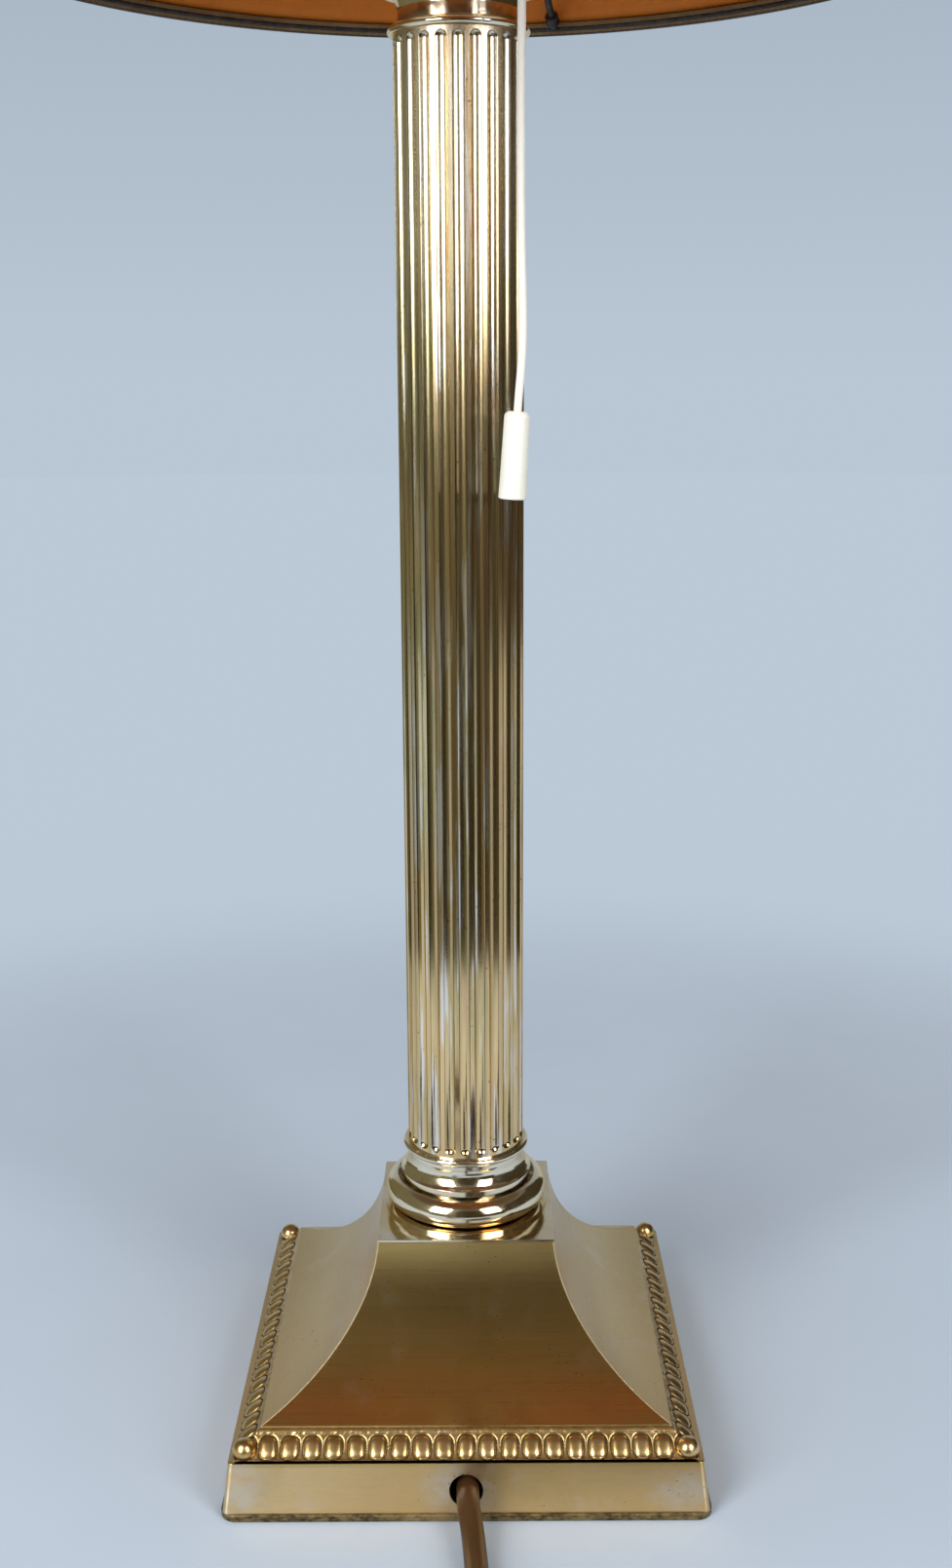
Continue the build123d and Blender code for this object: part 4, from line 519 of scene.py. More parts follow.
skins = {
    "brushed_brass": brushed_brass(),
    "bead_brass": bead_brass(),
    "polished_silver": polished_silver(),
    "worn_silver": worn_silver(),
    "tray_bronze": tray_bronze(),
    "cast_iron": plain_metal(
        "cast_iron", (0.035, 0.034, 0.033), (0.07, 0.068, 0.065), (0.55, 0.75), 0.6, depth=0.4),
    "steel": plain_metal("steel", (0.42, 0.42, 0.41), (0.60, 0.60, 0.58), (0.28, 0.42)),
    "dark_wire": plain_metal("dark_wire", (0.035, 0.032, 0.03), (0.075, 0.068, 0.06), (0.35, 0.5), 0.7),
    "contact_brass": plain_metal("contact_brass", (0.66, 0.48, 0.22), (0.80, 0.62, 0.32), (0.2, 0.34)),
    "plug_metal": plain_metal("plug_metal", (0.62, 0.61, 0.58), (0.74, 0.73, 0.70), (0.14, 0.26)),
    "bakelite": moulded("bakelite", (0.05, 0.028, 0.018), (0.085, 0.045, 0.028), (0.2, 0.32)),
    "ceramic": moulded("ceramic", (0.80, 0.78, 0.72), (0.72, 0.70, 0.63), (0.14, 0.24), sub=0.1),
    "opal_glass": opal_glass(),
    "pull_knob": moulded("knob_plastic", (0.84, 0.81, 0.71), (0.80, 0.76, 0.64), (0.3, 0.42), sub=0.15),
    "core_live": moulded("core_live", (0.17, 0.08, 0.035), (0.13, 0.06, 0.03)),
    "core_neutral": moulded("core_neutral", (0.03, 0.11, 0.42), (0.025, 0.09, 0.34)),
    "core_earth": earth_stripe(),
    "nylon": moulded("nylon", (0.62, 0.62, 0.60), (0.55, 0.55, 0.53)),
    "plug_brown": moulded("plug_brown", (0.105, 0.05, 0.022), (0.14, 0.07, 0.033), (0.38, 0.52)),
    "felt": felt(),
    "shade_cover": shade_cloth(),
    "shade_lining": shade_inside(),
    "shade_trim": shade_binding(),
    "pull_cord": braid(),
    "cord_brown": flex(),
    "webbing": webbing(),
}


node_slots = {entry["node"]: entry["material_slot"] for entry in frame["record"]["subparts"]}
for name, obj in nodes.items():
    if name in node_slots:
        if not obj.material_slots:
            obj.data.materials.append(None)
        for place in obj.material_slots:
            place.material = skins[node_slots[name]]


# ---------------------------------------------------------------- mesh helpers
def piece(name, points, faces, skin, body, replaced):
    """A smooth mesh that rides on a body, has one of the record's slots and stands for some of the nodes."""
    mesh = bpy.data.meshes.new(name)
    mesh.from_pydata([tuple(p) for p in points], [], faces)
    mesh.validate()
    mesh.shade_smooth()
    mesh.materials.append(skins[skin])
    obj = placed(name, mesh)
    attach(obj, body)
    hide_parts(*replaced)
    return obj


def store(obj, depths):
    """Keep each point's depth in a crevice with the mesh, for the painted shade in its material."""
    attribute = obj.data.attributes.new("depth", "FLOAT", "POINT")
    attribute.data.foreach_set("value", np.asarray(depths, np.float32).ravel())


def grid_faces(rows, columns, close_rows=False, close_columns=False):
    """Quads of a grid of points kept row by row; the normals follow row x column."""
    faces = []
    for i in range(rows if close_rows else rows - 1):
        a, b = i * columns, (i + 1) % rows * columns
        for j in range(columns if close_columns else columns - 1):
            k = (j + 1) % columns
            faces.append((a + j, b + j, b + k, a + k))
    return faces


def smoothstep(low, high, value):
    t = np.clip((value - low) / (high - low), 0, 1)
    return t * t * (3 - 2 * t)


def points_of(node):
    return np.array([v.co for v in nodes[node].data.vertices], float)


def rounded_outline(half_a, half_b, bend, steps, gap):
    """Points round a rectangle with rounded corners, no more than about a gap apart."""
    loop = []
    for quarter, (a, b) in enumerate(((1, 1), (-1, 1), (-1, -1), (1, -1))):
        at_a, at_b = a * (half_a - bend), b * (half_b - bend)
        for i in range(steps + 1):
            turn = math.pi / 2 * (quarter + i / steps)
            loop.append((at_a + bend * math.cos(turn), at_b + bend * math.sin(turn)))
    spaced = []
    for (ax, ay), (bx, by) in zip(loop, loop[1:] + loop[:1]):
        count = max(1, round(math.hypot(bx - ax, by - ay) / gap))
        spaced += [(ax + (bx - ax) * i / count, ay + (by - ay) * i / count) for i in range(count)]
    return spaced


# ---------------------------------------------------------------- mains cord, as one curve, in millimetres
CORD = 7.1
FREE_ROUTE = [
    (0.5, -74.0, 9.3), (0.5, -80.0, 9.3), (1.9, -88.0, 6.2), (2.9, -99.0, 4.4),
    (3.7, -113.0, 4.3), (4.3, -131.0, 4.7), (4.2, -157.0, 4.75), (4.2, -182.9, 4.75),
]
LEAD_ROUTE = [
    (4.2, -197.1, 12.35), (4.2, -212.1, 12.35), (-1.5, -226.0, 12.82), (-12.1, -236.6, 14.68),
    (-26.0, -242.3, 17.0), (-41.0, -242.3, 17.0),
]
COIL_TURNS = 6
COIL_CENTRE = (57.05, -190.0)
COIL_OUTER = 52.85
COIL_INNER = 31.95
COIL_STEP = 7.6
COIL_LOW = 4.75
POINTS_PER_TURN = 16


def coil_point(turns):
    """The winding after that many turns: in, up through a half turn, and out again."""
    climb = turns - (COIL_TURNS - 0.5) / 2
    if climb <= 0:
        radius, z = COIL_OUTER - turns * COIL_STEP, COIL_LOW
    elif climb < 0.5:
        radius = COIL_INNER - COIL_STEP / (2 * math.pi) * math.sin(2 * math.pi * climb)
        z = COIL_LOW + COIL_STEP * (1 - math.cos(2 * math.pi * climb)) / 2
    else:
        radius, z = COIL_INNER + (climb - 0.5) * COIL_STEP, COIL_LOW + COIL_STEP
    angle = math.pi * (1 + 2 * turns)
    return COIL_CENTRE[0] + radius * math.cos(angle), COIL_CENTRE[1] + radius * math.sin(angle), z


def spline_curve(name, points, resolution):
    """A quadratic NURBS curve with those points, in millimetres, as its control points."""
    data = bpy.data.curves.new(name, "CURVE")
    data.dimensions = "3D"
    data.resolution_u = resolution
    spline = data.splines.new("NURBS")
    spline.points.add(len(points) - 1)
    for target, point in zip(spline.points, points):
        target.co = (*[p * MM for p in point], 1)
    spline.order_u = 3
    spline.use_endpoint_u = True
    return placed(name, data)


coil_route = [coil_point(i / POINTS_PER_TURN) for i in range(COIL_TURNS * POINTS_PER_TURN + 1)]
mains = spline_curve("mains_flex", FREE_ROUTE + coil_route + LEAD_ROUTE, 6)
mains.data.bevel_depth = CORD / 2 * MM
mains.data.bevel_resolution = 8
mains.data.use_fill_caps = True
mains.data.materials.append(skins["cord_brown"])
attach(mains, "lamp")
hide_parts("mains_cord", "cord_coil", "plug_lead")


# ---------------------------------------------------------------- strap round the coil
STRAP_INSET = 0.55 * MM     # strap's middle within the box of its solid
STRAP_BEND = 2.2 * MM
STRAP_HALF_THICK = 0.5 * MM


def full(value, power):
    """A sine or cosine pushed towards 1 or -1, for a section with fuller corners."""
    return math.copysign(abs(value) ** power, value)


def strap():
    """Hook-and-loop strap: a flat closed band with rounded corners."""
    low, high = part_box("coil_strap")
    middle, half = (low + high) / 2, (high - low) / 2
    loop = rounded_outline(half.x - STRAP_INSET, half.z - STRAP_INSET, STRAP_BEND, 8, 0.9 * MM)
    points, around = [], 14
    for k, (x, z) in enumerate(loop):
        (px, pz), (nx, nz) = loop[k - 1], loop[(k + 1) % len(loop)]
        way = Vector((nz - pz, 0, px - nx)).normalized()
        for j in range(around):
            turn = 2 * math.pi * j / around
            out = STRAP_HALF_THICK * math.sin(turn)
            across = half.y * full(math.cos(turn), 0.35)
            points.append((middle.x + x + way.x * out, middle.y + across, middle.z + z + way.z * out))
    faces = grid_faces(len(loop), around, True, True)
    return piece("strap_loop", points, faces, "webbing", "lamp", ["coil_strap"])


strap_loop = strap()


# ---------------------------------------------------------------- pull cord, in millimetres
PULL_ROUTE = [
    (17.5, -32.0, 519.09), (17.6, -32.0, 483.49), (17.62, -32.0, 443.69), (17.36, -32.0, 411.99),
    (17.5, -32.0, 383.99), (18.1, -32.0, 360.99), (17.85, -32.0, 348.49), (16.65, -32.0, 336.19),
    (15.92, -32.0, 323.89),
]
PULL_CORD = 2.4
CARRIERS = 8            # strands of the braid
LAY = 1.9               # cord's thicknesses for half a turn of a strand
RELIEF = 0.10           # share of the radius
KNOT_CORD = 0.85        # radius of the cord in a knot


def line_of(points, step):
    """Points read off the route's spline, a step apart, in metres."""
    guide = spline_curve("guide", points, 24)
    mesh = bpy.data.meshes.new_from_object(guide)
    raw = np.array([v.co for v in mesh.vertices], float)
    bpy.data.meshes.remove(mesh)
    bpy.data.objects.remove(guide)
    far = np.concatenate([[0], np.cumsum(np.linalg.norm(np.diff(raw, axis=0), axis=1))])
    at = np.linspace(0, far[-1], max(2, round(far[-1] / step)) + 1)
    return np.stack([np.interp(at, far, raw[:, i]) for i in range(3)], axis=1)


def axes_across(way, fixed):
    """Two directions square to a line's own, for each of its points."""
    way = way / np.linalg.norm(way, axis=1)[:, None]
    side = np.cross(way, fixed)
    side /= np.linalg.norm(side, axis=1)[:, None]
    return side, np.cross(side, way)


def braided(line):
    """Pull cord: a tube with the relief of strands of both hands that pass over and under each other."""
    step = np.linalg.norm(np.diff(line, axis=0), axis=1)
    along = np.concatenate([[0], np.cumsum(step)]) / (PULL_CORD * MM)
    side, other = axes_across(np.gradient(line, axis=0), [0.0, 1.0, 0.0])
    rows, around = len(line), 40
    turn = np.arange(around) * 2 * np.pi / around
    wind = along[:, None] * np.pi * CARRIERS / LAY / 2
    a = CARRIERS * turn[None, :] / 2 + wind
    b = CARRIERS * turn[None, :] / 2 - wind
    hand = np.sign(np.cos(b) * np.cos(a))
    over = np.abs(np.sin(a)) ** 0.7 * (0.5 + 0.5 * hand * np.abs(np.cos(b)) ** 0.4)
    under = np.abs(np.sin(b)) ** 0.7 * (0.5 - 0.5 * hand * np.abs(np.cos(a)) ** 0.4)
    height = np.maximum(over, under)
    radius = PULL_CORD * MM / 2 * (1 - RELIEF + RELIEF * height)
    points = line[:, None, :] + radius[..., None] * (
        np.cos(turn)[None, :, None] * side[:, None, :] + np.sin(turn)[None, :, None] * other[:, None, :]
    )
    faces = grid_faces(rows, around, close_columns=True)
    faces.append(tuple(range(around)))
    faces.append(tuple(reversed(range((rows - 1) * around, rows * around))))
    obj = piece("pull_braid", points.reshape(-1, 3), faces, "pull_cord", "pull", ["pull_cord"])
    store(obj, 1 - height)
    return obj


def knots_of(boxes):
    """Overhand knots, one in each box: one carries the cord on the lever's eye, one is inside the knob."""
    points, faces, around = [], [], 14
    for low, high in boxes:
        centre = (low + high) / 2
        reach = (high - low).length / (2 * math.sqrt(3)) - KNOT_CORD * MM
        turns = np.linspace(0, 2 * np.pi, 121)[:-1]
        spread = reach * (0.62 + 0.38 * np.cos(3 * turns))
        loop = np.stack([
            centre.x + spread * np.cos(2 * turns), centre.y + spread * np.sin(2 * turns),
            centre.z + reach * 0.75 * np.sin(3 * turns)
        ], axis=1)
        side, other = axes_across(np.roll(loop, -1, axis=0) - np.roll(loop, 1, axis=0), [0.31, 0.2, 1.0])
        first = len(points)
        for p, u, v in zip(loop, side, other):
            for j in range(around):
                turn = 2 * math.pi * j / around
                points.append(p + KNOT_CORD * MM * (math.cos(turn) * u + math.sin(turn) * v))
        faces += [tuple(first + i for i in f) for f in grid_faces(len(loop), around, True, True)]
    obj = piece("pull_knots", points, faces, "pull_cord", "pull", ["cord_knots"])
    store(obj, np.zeros(len(obj.data.vertices)))
    return obj


pull_line = line_of(PULL_ROUTE, 0.16 * MM)
pull = braided(pull_line)
knot_points = points_of("cord_knots")
upper = knot_points[:, 2] > knot_points[:, 2].mean()
knots = knots_of([
    (Vector(part.min(0)), Vector(part.max(0))) for part in (knot_points[upper], knot_points[~upper])
])


# ---------------------------------------------------------------- bead border, in millimetres
BORDER_OUT = 72.2
BORDER_IN = 64.1
BORDER_FOOT = 18.7
BORDER_HEAD = 25.15
BEAD_SPACES = 20
STEPS_PER_BEAD = 26
ACROSS = 45
BEAD_HALF_WIDE = 2.78
BEAD_HALF_TALL = 3.65
BEAD_LOW = 1.0          # middle of the beads below the middle of the slope
BEAD_SUNK = 0.75        # foot of a bead under the slope
BEAD_SWELL = 1.15       # rise of a bead from there
SOCKET_SWELL = 0.2      # rise of the low seat under a corner's round bead
FRAME_SUNK = 0.35       # cast frame round the beads
GROOVE = 0.45           # dip in the frame beside each bead
LIP_SUNK = 0.12         # fillets above and below the channel
EDGE_SUNK = 0.3
SOCKET_OUT = 1.0        # middle of a corner's seat beyond the middle of the slope, both ways
SOCKET_RADIUS = 4.0
BALL_AT = 68.7          # middle of a corner's round bead from the lamp's axis, both ways
BALL_HEIGHT = 20.3
BALL_RADIUS = 3.75
BALL_BANDS = 18
BALL_AROUND = 28


def corner_balls(first):
    """The round beads at the border's corners, each a little uneven, as points, faces and crevice depths."""
    points, faces, depths = [], [], []
    for corner in range(4):
        start = first + len(points)
        turn = math.radians(45 + 90 * corner)
        away = BALL_AT * math.sqrt(2)
        middle = Vector((away * math.cos(turn), away * math.sin(turn), BALL_HEIGHT))
        for i in range(1, BALL_BANDS):
            polar = math.pi * i / BALL_BANDS
            for j in range(BALL_AROUND):
                way = 2 * math.pi * j / BALL_AROUND
                reach = math.sin(polar)
                at = Vector((reach * math.cos(way), reach * math.sin(way), math.cos(polar)))
                swell = 1 + 0.03 * noise.noise(at * 1.3 + Vector((corner * 5.1, 2.0, 1.0)))
                points.append(middle + at * BALL_RADIUS * swell)
                # lower half of each round bead made deep, for painted shade under it
                depths.append(float(smoothstep(0.15, -0.35, at.z)))
        points += [middle + Vector((0, 0, BALL_RADIUS)), middle - Vector((0, 0, BALL_RADIUS))]
        depths += [0.0, 1.0]
        head, foot = first + len(points) - 2, first + len(points) - 1
        low = start + (BALL_BANDS - 2) * BALL_AROUND
        for j in range(BALL_AROUND):
            k = (j + 1) % BALL_AROUND
            for band in range(start, low, BALL_AROUND):
                faces.append((band + j, band + BALL_AROUND + j, band + BALL_AROUND + k, band + k))
            faces.append((head, start + j, start + k))
            faces.append((foot, low + k, low + j))
    return points, faces, depths


def border():
    """Cast border: framed beads in a channel between two uneven fillets, with a round bead at each corner."""
    rise, run = BORDER_HEAD - BORDER_FOOT, BORDER_OUT - BORDER_IN
    slope = math.hypot(rise, run)
    middle = (BORDER_OUT + BORDER_IN) / 2
    pitch = 2 * middle / BEAD_SPACES
    shares = np.linspace(-1, 1, BEAD_SPACES * STEPS_PER_BEAD + 1)[:-1]
    chance = random.Random(11)
    out, up = rise / slope, run / slope
    rings, depths = [], []
    t = np.linspace(0, 1, ACROSS)
    half = BORDER_OUT + (BORDER_IN - BORDER_OUT) * t
    base_z = BORDER_FOOT + rise * t
    v = (t - 0.5) * slope
    for side in range(4):
        # each bead's own width, height, lean and place
        wide, tall, lean, jog = [
            np.array([base + chance.uniform(low, high) for _ in range(BEAD_SPACES + 1)])
            for base, low, high in ((1, -0.05, 0.05), (1, -0.04, 0.03), (0, -0.16, 0.16), (0, -0.14, 0.14))
        ]
        c, d = ((1, 0), (0, 1), (-1, 0), (0, -1))[side]
        for share in shares:
            s = share * half
            index = np.clip(np.round((s + middle) / pitch).astype(int), 0, BEAD_SPACES)
            wobble = noise.noise(Vector((share * 23, side * 7.3, 0.4)))
            ripple = noise.noise(Vector((share * 61, side * 3.1, 4.4)))

            # q is under 1 on a bead and just over 1 in the groove round it
            u = s - (index * pitch - middle) - jog[index] - lean[index] * v * 0.25
            half_wide, half_tall = BEAD_HALF_WIDE * wide[index], BEAD_HALF_TALL * tall[index]
            q = (np.abs(u) / half_wide) ** 2.7 + (np.abs(v + BEAD_LOW + 0.1 * wobble) / half_tall) ** 2.9
            at_end = (index == 0) | (index == BEAD_SPACES)
            away = middle + SOCKET_OUT
            from_corner = np.sqrt((np.abs(s) - away) ** 2 + (half - away) ** 2 + (v * rise / slope) ** 2)
            q = np.where(at_end, (from_corner / SOCKET_RADIUS) ** 2.4, q)

            dome = np.clip(1 - q, 0, 1) ** 0.55 * np.where(at_end, SOCKET_SWELL, BEAD_SWELL)
            groove = GROOVE * np.exp(-((q - 1.12) / 0.13) ** 2)
            height = np.where(q < 1, dome - BEAD_SUNK, 0.06 * ripple - FRAME_SUNK - groove)
            lips = np.maximum(
                smoothstep(-slope / 2 + 0.62, -slope / 2 + 0.42, v + 0.12 * ripple),
                smoothstep(slope / 2 - 2.0, slope / 2 - 1.55, v + 0.22 * wobble),
            )
            surface = height * (1 - lips) + lips * (0.10 * ripple - LIP_SUNK)
            toe = smoothstep(0, 0.45, v + slope / 2) * smoothstep(0, 0.7, slope / 2 - v)
            surface = surface * toe - EDGE_SUNK * (1 - toe)

            # along the slope's normal, which leans over towards a corner
            nx = out * smoothstep(5.0, 0.0, np.abs(np.abs(s) - half)) * np.sign(s)
            lift = surface / np.sqrt(nx ** 2 + out ** 2 + up ** 2)
            x, y, z = s + lift * nx, -half - lift * out, base_z + lift * up
            ring = np.stack([c * x - d * y, d * x + c * y, z], axis=1)
            foot = [ring[-1][0], ring[-1][1], BORDER_FOOT + 0.02]
            rings.append(np.vstack([ring, foot]))
            # depth round each bead, for painted shade in the crevices, and a dark joint along the channel's
            # top
            crevice = smoothstep(0.77, 0.95, q) * smoothstep(1.55, 1.25, q) * (1 - lips)
            top_seam = 0.9 * smoothstep(slope / 2 - 0.45, slope / 2 - 0.1, v + 0.1 * ripple)
            depths.append(np.append(np.maximum(crevice, top_seam), 0.5))
    rows, columns = len(rings), ACROSS + 1
    faces = grid_faces(rows, columns, True, True)
    balls, ball_faces, ball_depths = corner_balls(rows * columns)
    points = np.concatenate(rings + [np.array([tuple(p) for p in balls])]) * MM
    obj = piece("bead_band", points, faces + ball_faces, "bead_brass", "lamp", ["bead_border"])
    store(obj, np.concatenate(depths + [np.array(ball_depths)]))


border()


# ---------------------------------------------------------------- shade
SHEET_AROUND = 360
SHEET_ROWS = 42
SEAM_BEARING = math.pi / 2      # at the back
SEAM_LAP = 0.35 * MM
SHEET_SAG = 0.175 * MM
BINDING_AROUND = 1440
RIB = 0.07 * MM


def ends_of(node, reach):
    """A ring-shaped node's box, and its points' distances from the axis near its lower and its upper end."""
    low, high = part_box(node)
    points = points_of(node)
    radii = np.hypot(points[:, 0], points[:, 1])
    return low, high, radii[points[:, 2] < low.z + reach], radii[points[:, 2] > high.z - reach]


def shade_sheet(name, node, thick, lap_way):
    """Cloth or lining stretched over the rings: a thin shell, slightly out of round, with a lapped seam."""
    low, high, bottom, top = ends_of(node, 0.5 * MM)
    bottom_radius, top_radius = bottom.max(), top.max()
    points = []
    for layer, order in enumerate((range(SHEET_ROWS), range(SHEET_ROWS - 1, -1, -1))):
        for i in order:
            share = i / (SHEET_ROWS - 1)
            z = low.z + (high.z - low.z) * share
            base = bottom_radius + (top_radius - bottom_radius) * share - layer * thick
            for j in range(SHEET_AROUND):
                angle = 2 * math.pi * j / SHEET_AROUND
                c, s = math.cos(angle), math.sin(angle)
                radius = base + 0.12 * MM * noise.noise(Vector((c * 4, s * 4, share * 3)))
                if layer == 0:
                    gap = abs((angle - SEAM_BEARING + math.pi) % (2 * math.pi) - math.pi)
                    radius += lap_way * SEAM_LAP * float(smoothstep(0.062, 0.056, gap))
                    radius -= SHEET_SAG * math.sin(math.pi * share) * (0.6 + 0.4 * math.sin(3 * angle + 0.7))
                points.append((radius * c, radius * s, z))
    faces = [f[::-1] for f in grid_faces(2 * SHEET_ROWS, SHEET_AROUND, True, True)]
    return piece(name, points, faces, node, "shade", [node])


cover = shade_sheet("shade_cloth_cover", "shade_cover", 0.7 * MM, 1)
lining = shade_sheet("shade_lining_sheet", "shade_lining", 0.35 * MM, -1)


def binding(name, node):
    """Ribbed binding round a rim: the node's own section, with fine upright ribs."""
    low, high, bottom, top = ends_of(node, 0.4 * MM)
    middle, half = (low.z + high.z) / 2, (high.z - low.z) / 2
    profile, turns = [], 28
    for k in range(turns):
        angle = 2 * math.pi * k / turns
        z = middle + full(math.sin(angle), 0.45) * half
        outer = np.interp(z, [low.z, high.z], [bottom.max(), top.max()])
        inner = np.interp(z, [low.z, high.z], [bottom.min(), top.min()])
        # the section's upper and lower ends, made dark: painted shade along the binding's edges
        edge_shade = smoothstep(0.72, 0.98, abs(z - middle) / half)
        profile.append(((outer + inner) / 2, (outer - inner) / 2, full(math.cos(angle), 0.45), z, edge_shade))
    points, depth = [], []
    for j in range(BINDING_AROUND):
        angle = 2 * math.pi * j / BINDING_AROUND
        valley = 0.5 - 0.5 * math.cos(BINDING_AROUND / 4 * angle)
        for centre, reach, across, z, edge_shade in profile:
            radius = centre + across * (reach - RIB * valley)
            points.append((radius * math.cos(angle), radius * math.sin(angle), z))
            # painted shade in the ribs' valleys and along the edges
            depth.append(float(np.clip(0.35 * valley + edge_shade, 0, 1)))
    faces = grid_faces(BINDING_AROUND, turns, True, True)
    store(piece(name, points, faces, "shade_trim", "shade", [node]), depth)


binding("bottom_binding", "bottom_trim")
binding("top_binding", "top_trim")


# ---------------------------------------------------------------- felt
FELT_BEND = 5.0 * MM


def felt_sheet():
    """Felt pad with soft edges, in the tray's recess."""
    low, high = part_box("felt_pad")
    half, thick = (high.x - low.x) / 2, high.z - low.z
    outline = rounded_outline(half, half, FELT_BEND, 10, 2 * MM)
    section = ((0.35, 0.0), (0.1, 0.2), (0.0, 0.5), (0.1, 0.8), (0.35, 1.0))
    points = []
    for inset, z in section:
        for x, y in outline:
            rough = 0.12 * MM * noise.noise(Vector((x * 900, y * 900, z)))
            scale = 1 - (inset * thick - rough) / half
            points.append((x * scale, y * scale, low.z + thick * z))
    n = len(outline)
    faces = [f[::-1] for f in grid_faces(len(section), n, close_columns=True)]
    faces.append(tuple(reversed(range(n))))
    faces.append(tuple(range(len(points) - n, len(points))))
    return piece("felt_sheet", points, faces, "felt", "lamp", ["felt_pad"])


felt_piece = felt_sheet()


# ---------------------------------------------------------------- floor, light and surroundings
BACKDROP = (0.49, 0.57, 0.665)
FLOOR_RADIUS = 6.0
FLOOR_SIDES = 96


def floor():
    """Pale paper that takes the shadows near the lamp, with painted shade darkening it towards the lamp, and
    is seen as the plain backdrop further out.
    """
    mesh = bpy.data.meshes.new("floor")
    turns = [2 * math.pi * i / FLOOR_SIDES for i in range(FLOOR_SIDES)]
    points = [(FLOOR_RADIUS * math.cos(turn), FLOOR_RADIUS * math.sin(turn), 0) for turn in turns]
    mesh.from_pydata(points, [], [tuple(range(FLOOR_SIDES))])
    placed("floor", mesh)
    s = Skin("floor_paper")
    s.set("rough", 0.85)
    s.set("specular", 0.15)
    r = s.radius()
    mottle = s.noise(9, 4, 0.6)
    # paper darker towards the lamp: painted shade
    tone_shaded_near_lamp = s.mix(s.smooth(r, 0.05, 0.34), (0.545, 0.64, 0.76), (0.61, 0.715, 0.85))
    s.set("color", s.mix(s.smooth(mottle, 0.3, 0.7, 0, 0.15), tone_shaded_near_lamp, (0.485, 0.57, 0.675)))
    s.bump(s.noise(900, 3, 0.6), 0.1, 0.1 * MM)
    far_tone = s.mix(s.smooth(r, 0.3, 0.9), (0.495, 0.577, 0.668), (0.50, 0.58, 0.675))
    glow = s.add("Emission", Color=far_tone, Strength=1.0)
    path = s.add("LightPath")
    seen = s.plus(path.outputs["Is Camera Ray"], path.outputs["Is Glossy Ray"])
    seen = s.plus(seen, path.outputs["Is Transmission Ray"], True)
    blend = s.add("MixShader")
    s.plug(blend.inputs[0], s.times(s.smooth(r, 0.28, 0.62), seen))
    s.plug(blend.inputs[1], s.shader.outputs[0])
    s.plug(blend.inputs[2], glow.outputs[0])
    s.plug(s.output.inputs["Surface"], blend.outputs[0])
    mesh.materials.append(s.material)


floor()


# the world's tones from straight down to straight up
SKY = [
    (0.0, BACKDROP), (0.5, BACKDROP), (0.6, (0.405, 0.48, 0.565)), (0.75, (0.30, 0.31, 0.32)),
    (0.88, (0.105, 0.075, 0.045)), (1.0, (0.10, 0.07, 0.04)),
]


def surroundings():
    """A world that goes on from the backdrop at the horizon to a dim warm room overhead."""
    world = bpy.data.worlds.new("surroundings")
    bpy.context.scene.world = world
    world.use_nodes = True
    tree = world.node_tree
    tree.nodes.clear()
    out = tree.nodes.new("ShaderNodeOutputWorld")
    glow = tree.nodes.new("ShaderNodeBackground")
    coordinate = tree.nodes.new("ShaderNodeTexCoord")
    split = tree.nodes.new("ShaderNodeSeparateXYZ")
    ramp = tree.nodes.new("ShaderNodeValToRGB")
    shift = tree.nodes.new("ShaderNodeMapRange")
    shift.inputs["From Min"].default_value = -1
    tree.links.new(coordinate.outputs["Generated"], split.inputs[0])
    tree.links.new(split.outputs["Z"], shift.inputs["Value"])
    tree.links.new(shift.outputs[0], ramp.inputs[0])
    tree.links.new(ramp.outputs[0], glow.inputs["Color"])
    tree.links.new(glow.outputs[0], out.inputs["Surface"])
    elements = ramp.color_ramp.elements
    while len(elements) < len(SKY):
        elements.new(0.5)
    for element, (at, color) in zip(elements, SKY):
        element.position = at
        element.color = (*color, 1)


surroundings()


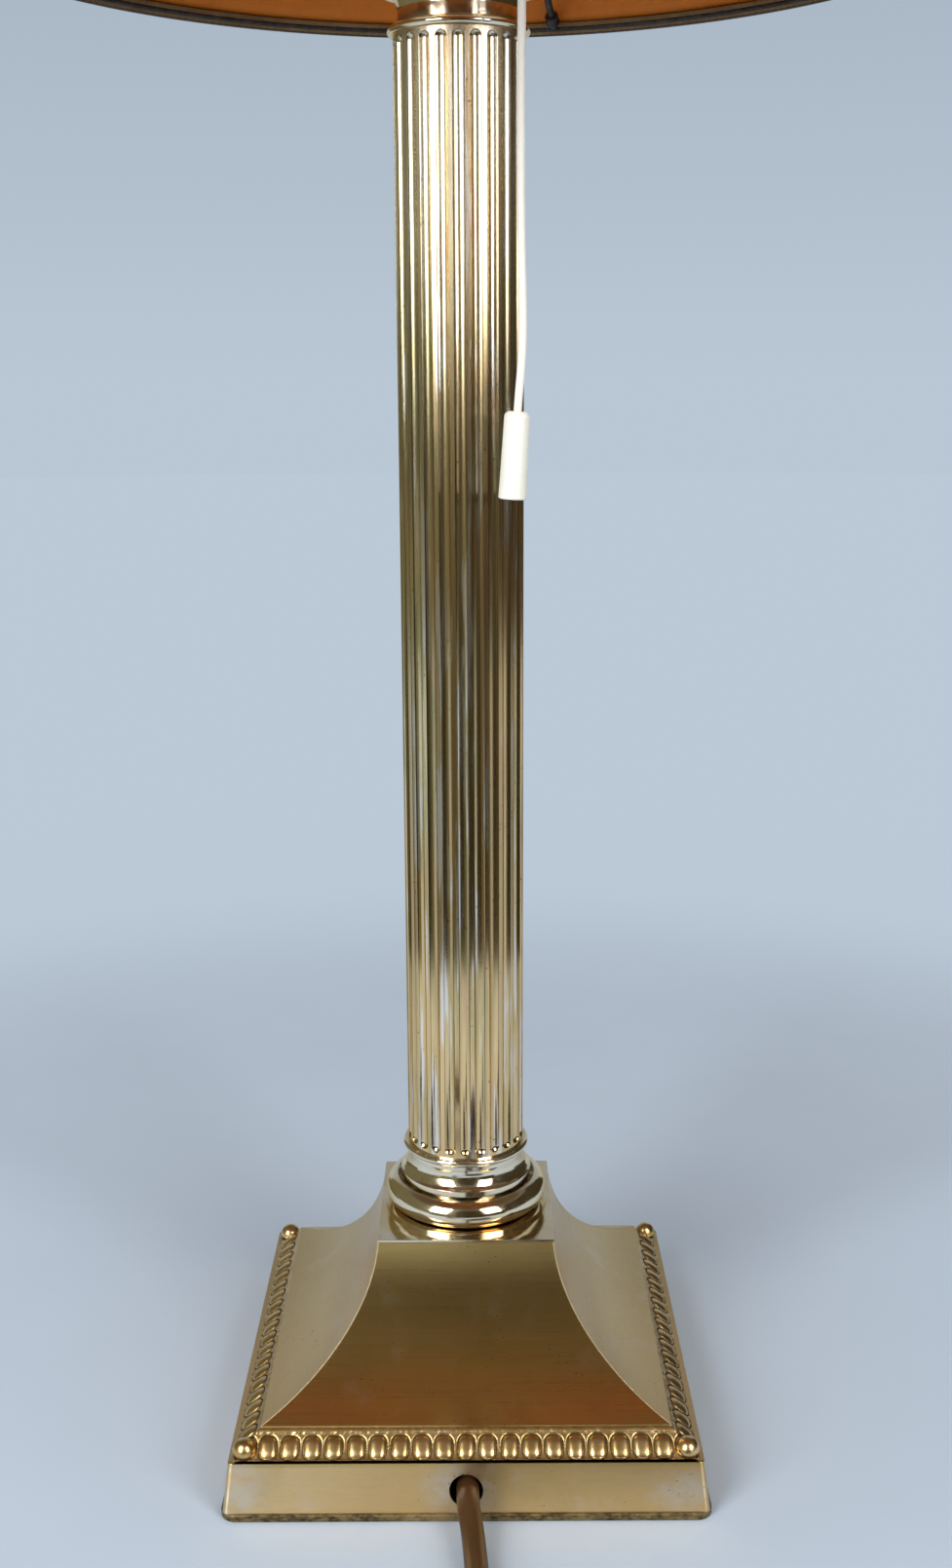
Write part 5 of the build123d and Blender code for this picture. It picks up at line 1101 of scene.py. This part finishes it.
def softbox(name, place, aim, width, height, radiance, color=(1, 1, 1)):
    """Rectangular lamp that the camera doesn't see, aimed at a point."""
    data = bpy.data.lights.new(name, "AREA")
    data.shape = "RECTANGLE"
    data.size = width
    data.size_y = height
    data.energy = radiance * math.pi * width * height
    data.color = color
    obj = placed(name, data)
    obj.location = place
    obj.rotation_euler = (Vector(aim) - Vector(place)).to_track_quat("-Z", "Y").to_euler()
    obj.visible_camera = False
    return obj


softbox("left_box", (-0.80, -1.0, 0.85), (0, 0, 0.28), 0.62, 1.05, 8.3)
softbox("right_box", (0.80, -1.0, 0.85), (0, 0, 0.28), 0.56, 1.0, 6.7, (1.0, 0.985, 0.96))
top = softbox("top_box", (0.0, 0.1, 1.8), (0, 0, 0.2), 1.6, 1.4, 0.55)
top.visible_glossy = False


CARD_STEPS = 40
CARD_NEAR = 0.46
CARD_FAR = 1.7
CARD_ON_FLOOR = 0.002
CARD_TALL = 1.6
LYING, STANDING = False, True


def card(name, standing, first, last, tone):
    """Dark glowing screen, standing or lying, that only reflections see: a painted reflection of the unlit
    room round the table.
    """
    near, low, high = CARD_NEAR, CARD_ON_FLOOR, CARD_ON_FLOOR
    if standing:
        near, low, high = CARD_FAR, 0.0, CARD_TALL
    points = []
    for i in range(CARD_STEPS + 1):
        bearing = math.radians(first + (last - first) * i / CARD_STEPS)
        points.append((near * math.sin(bearing), -near * math.cos(bearing), low))
        points.append((CARD_FAR * math.sin(bearing), -CARD_FAR * math.cos(bearing), high))
    mesh = bpy.data.meshes.new(name)
    mesh.from_pydata(points, [], [(2 * i, 2 * i + 1, 2 * i + 3, 2 * i + 2) for i in range(CARD_STEPS)])
    obj = placed(name, mesh)
    s = Skin(name)
    glow = s.add("Emission", Color=tone, Strength=1.0)
    s.plug(s.output.inputs["Surface"], glow.outputs[0])
    mesh.materials.append(s.material)
    for ray in ("camera", "diffuse", "shadow", "transmission"):
        setattr(obj, "visible_" + ray, False)


# first and last bearing in degrees from the front, below zero to the picture's left
# painted reflections: dark towards the right, lighter towards the left
card("room_floor", LYING, -12, 55, (0.034, 0.029, 0.014))
card("room_floor_left", LYING, -50, -12, (0.14, 0.13, 0.075))
card("room_wall", STANDING, -14, 145, (0.043, 0.033, 0.016))
card("room_wall_left", STANDING, -145, -14, (0.15, 0.14, 0.08))
card("room_back_right", LYING, 105, 148, (0.06, 0.05, 0.028))
card("room_back_left", LYING, -148, -105, (0.10, 0.09, 0.05))

bpy.context.scene.view_settings.view_transform = "Standard"
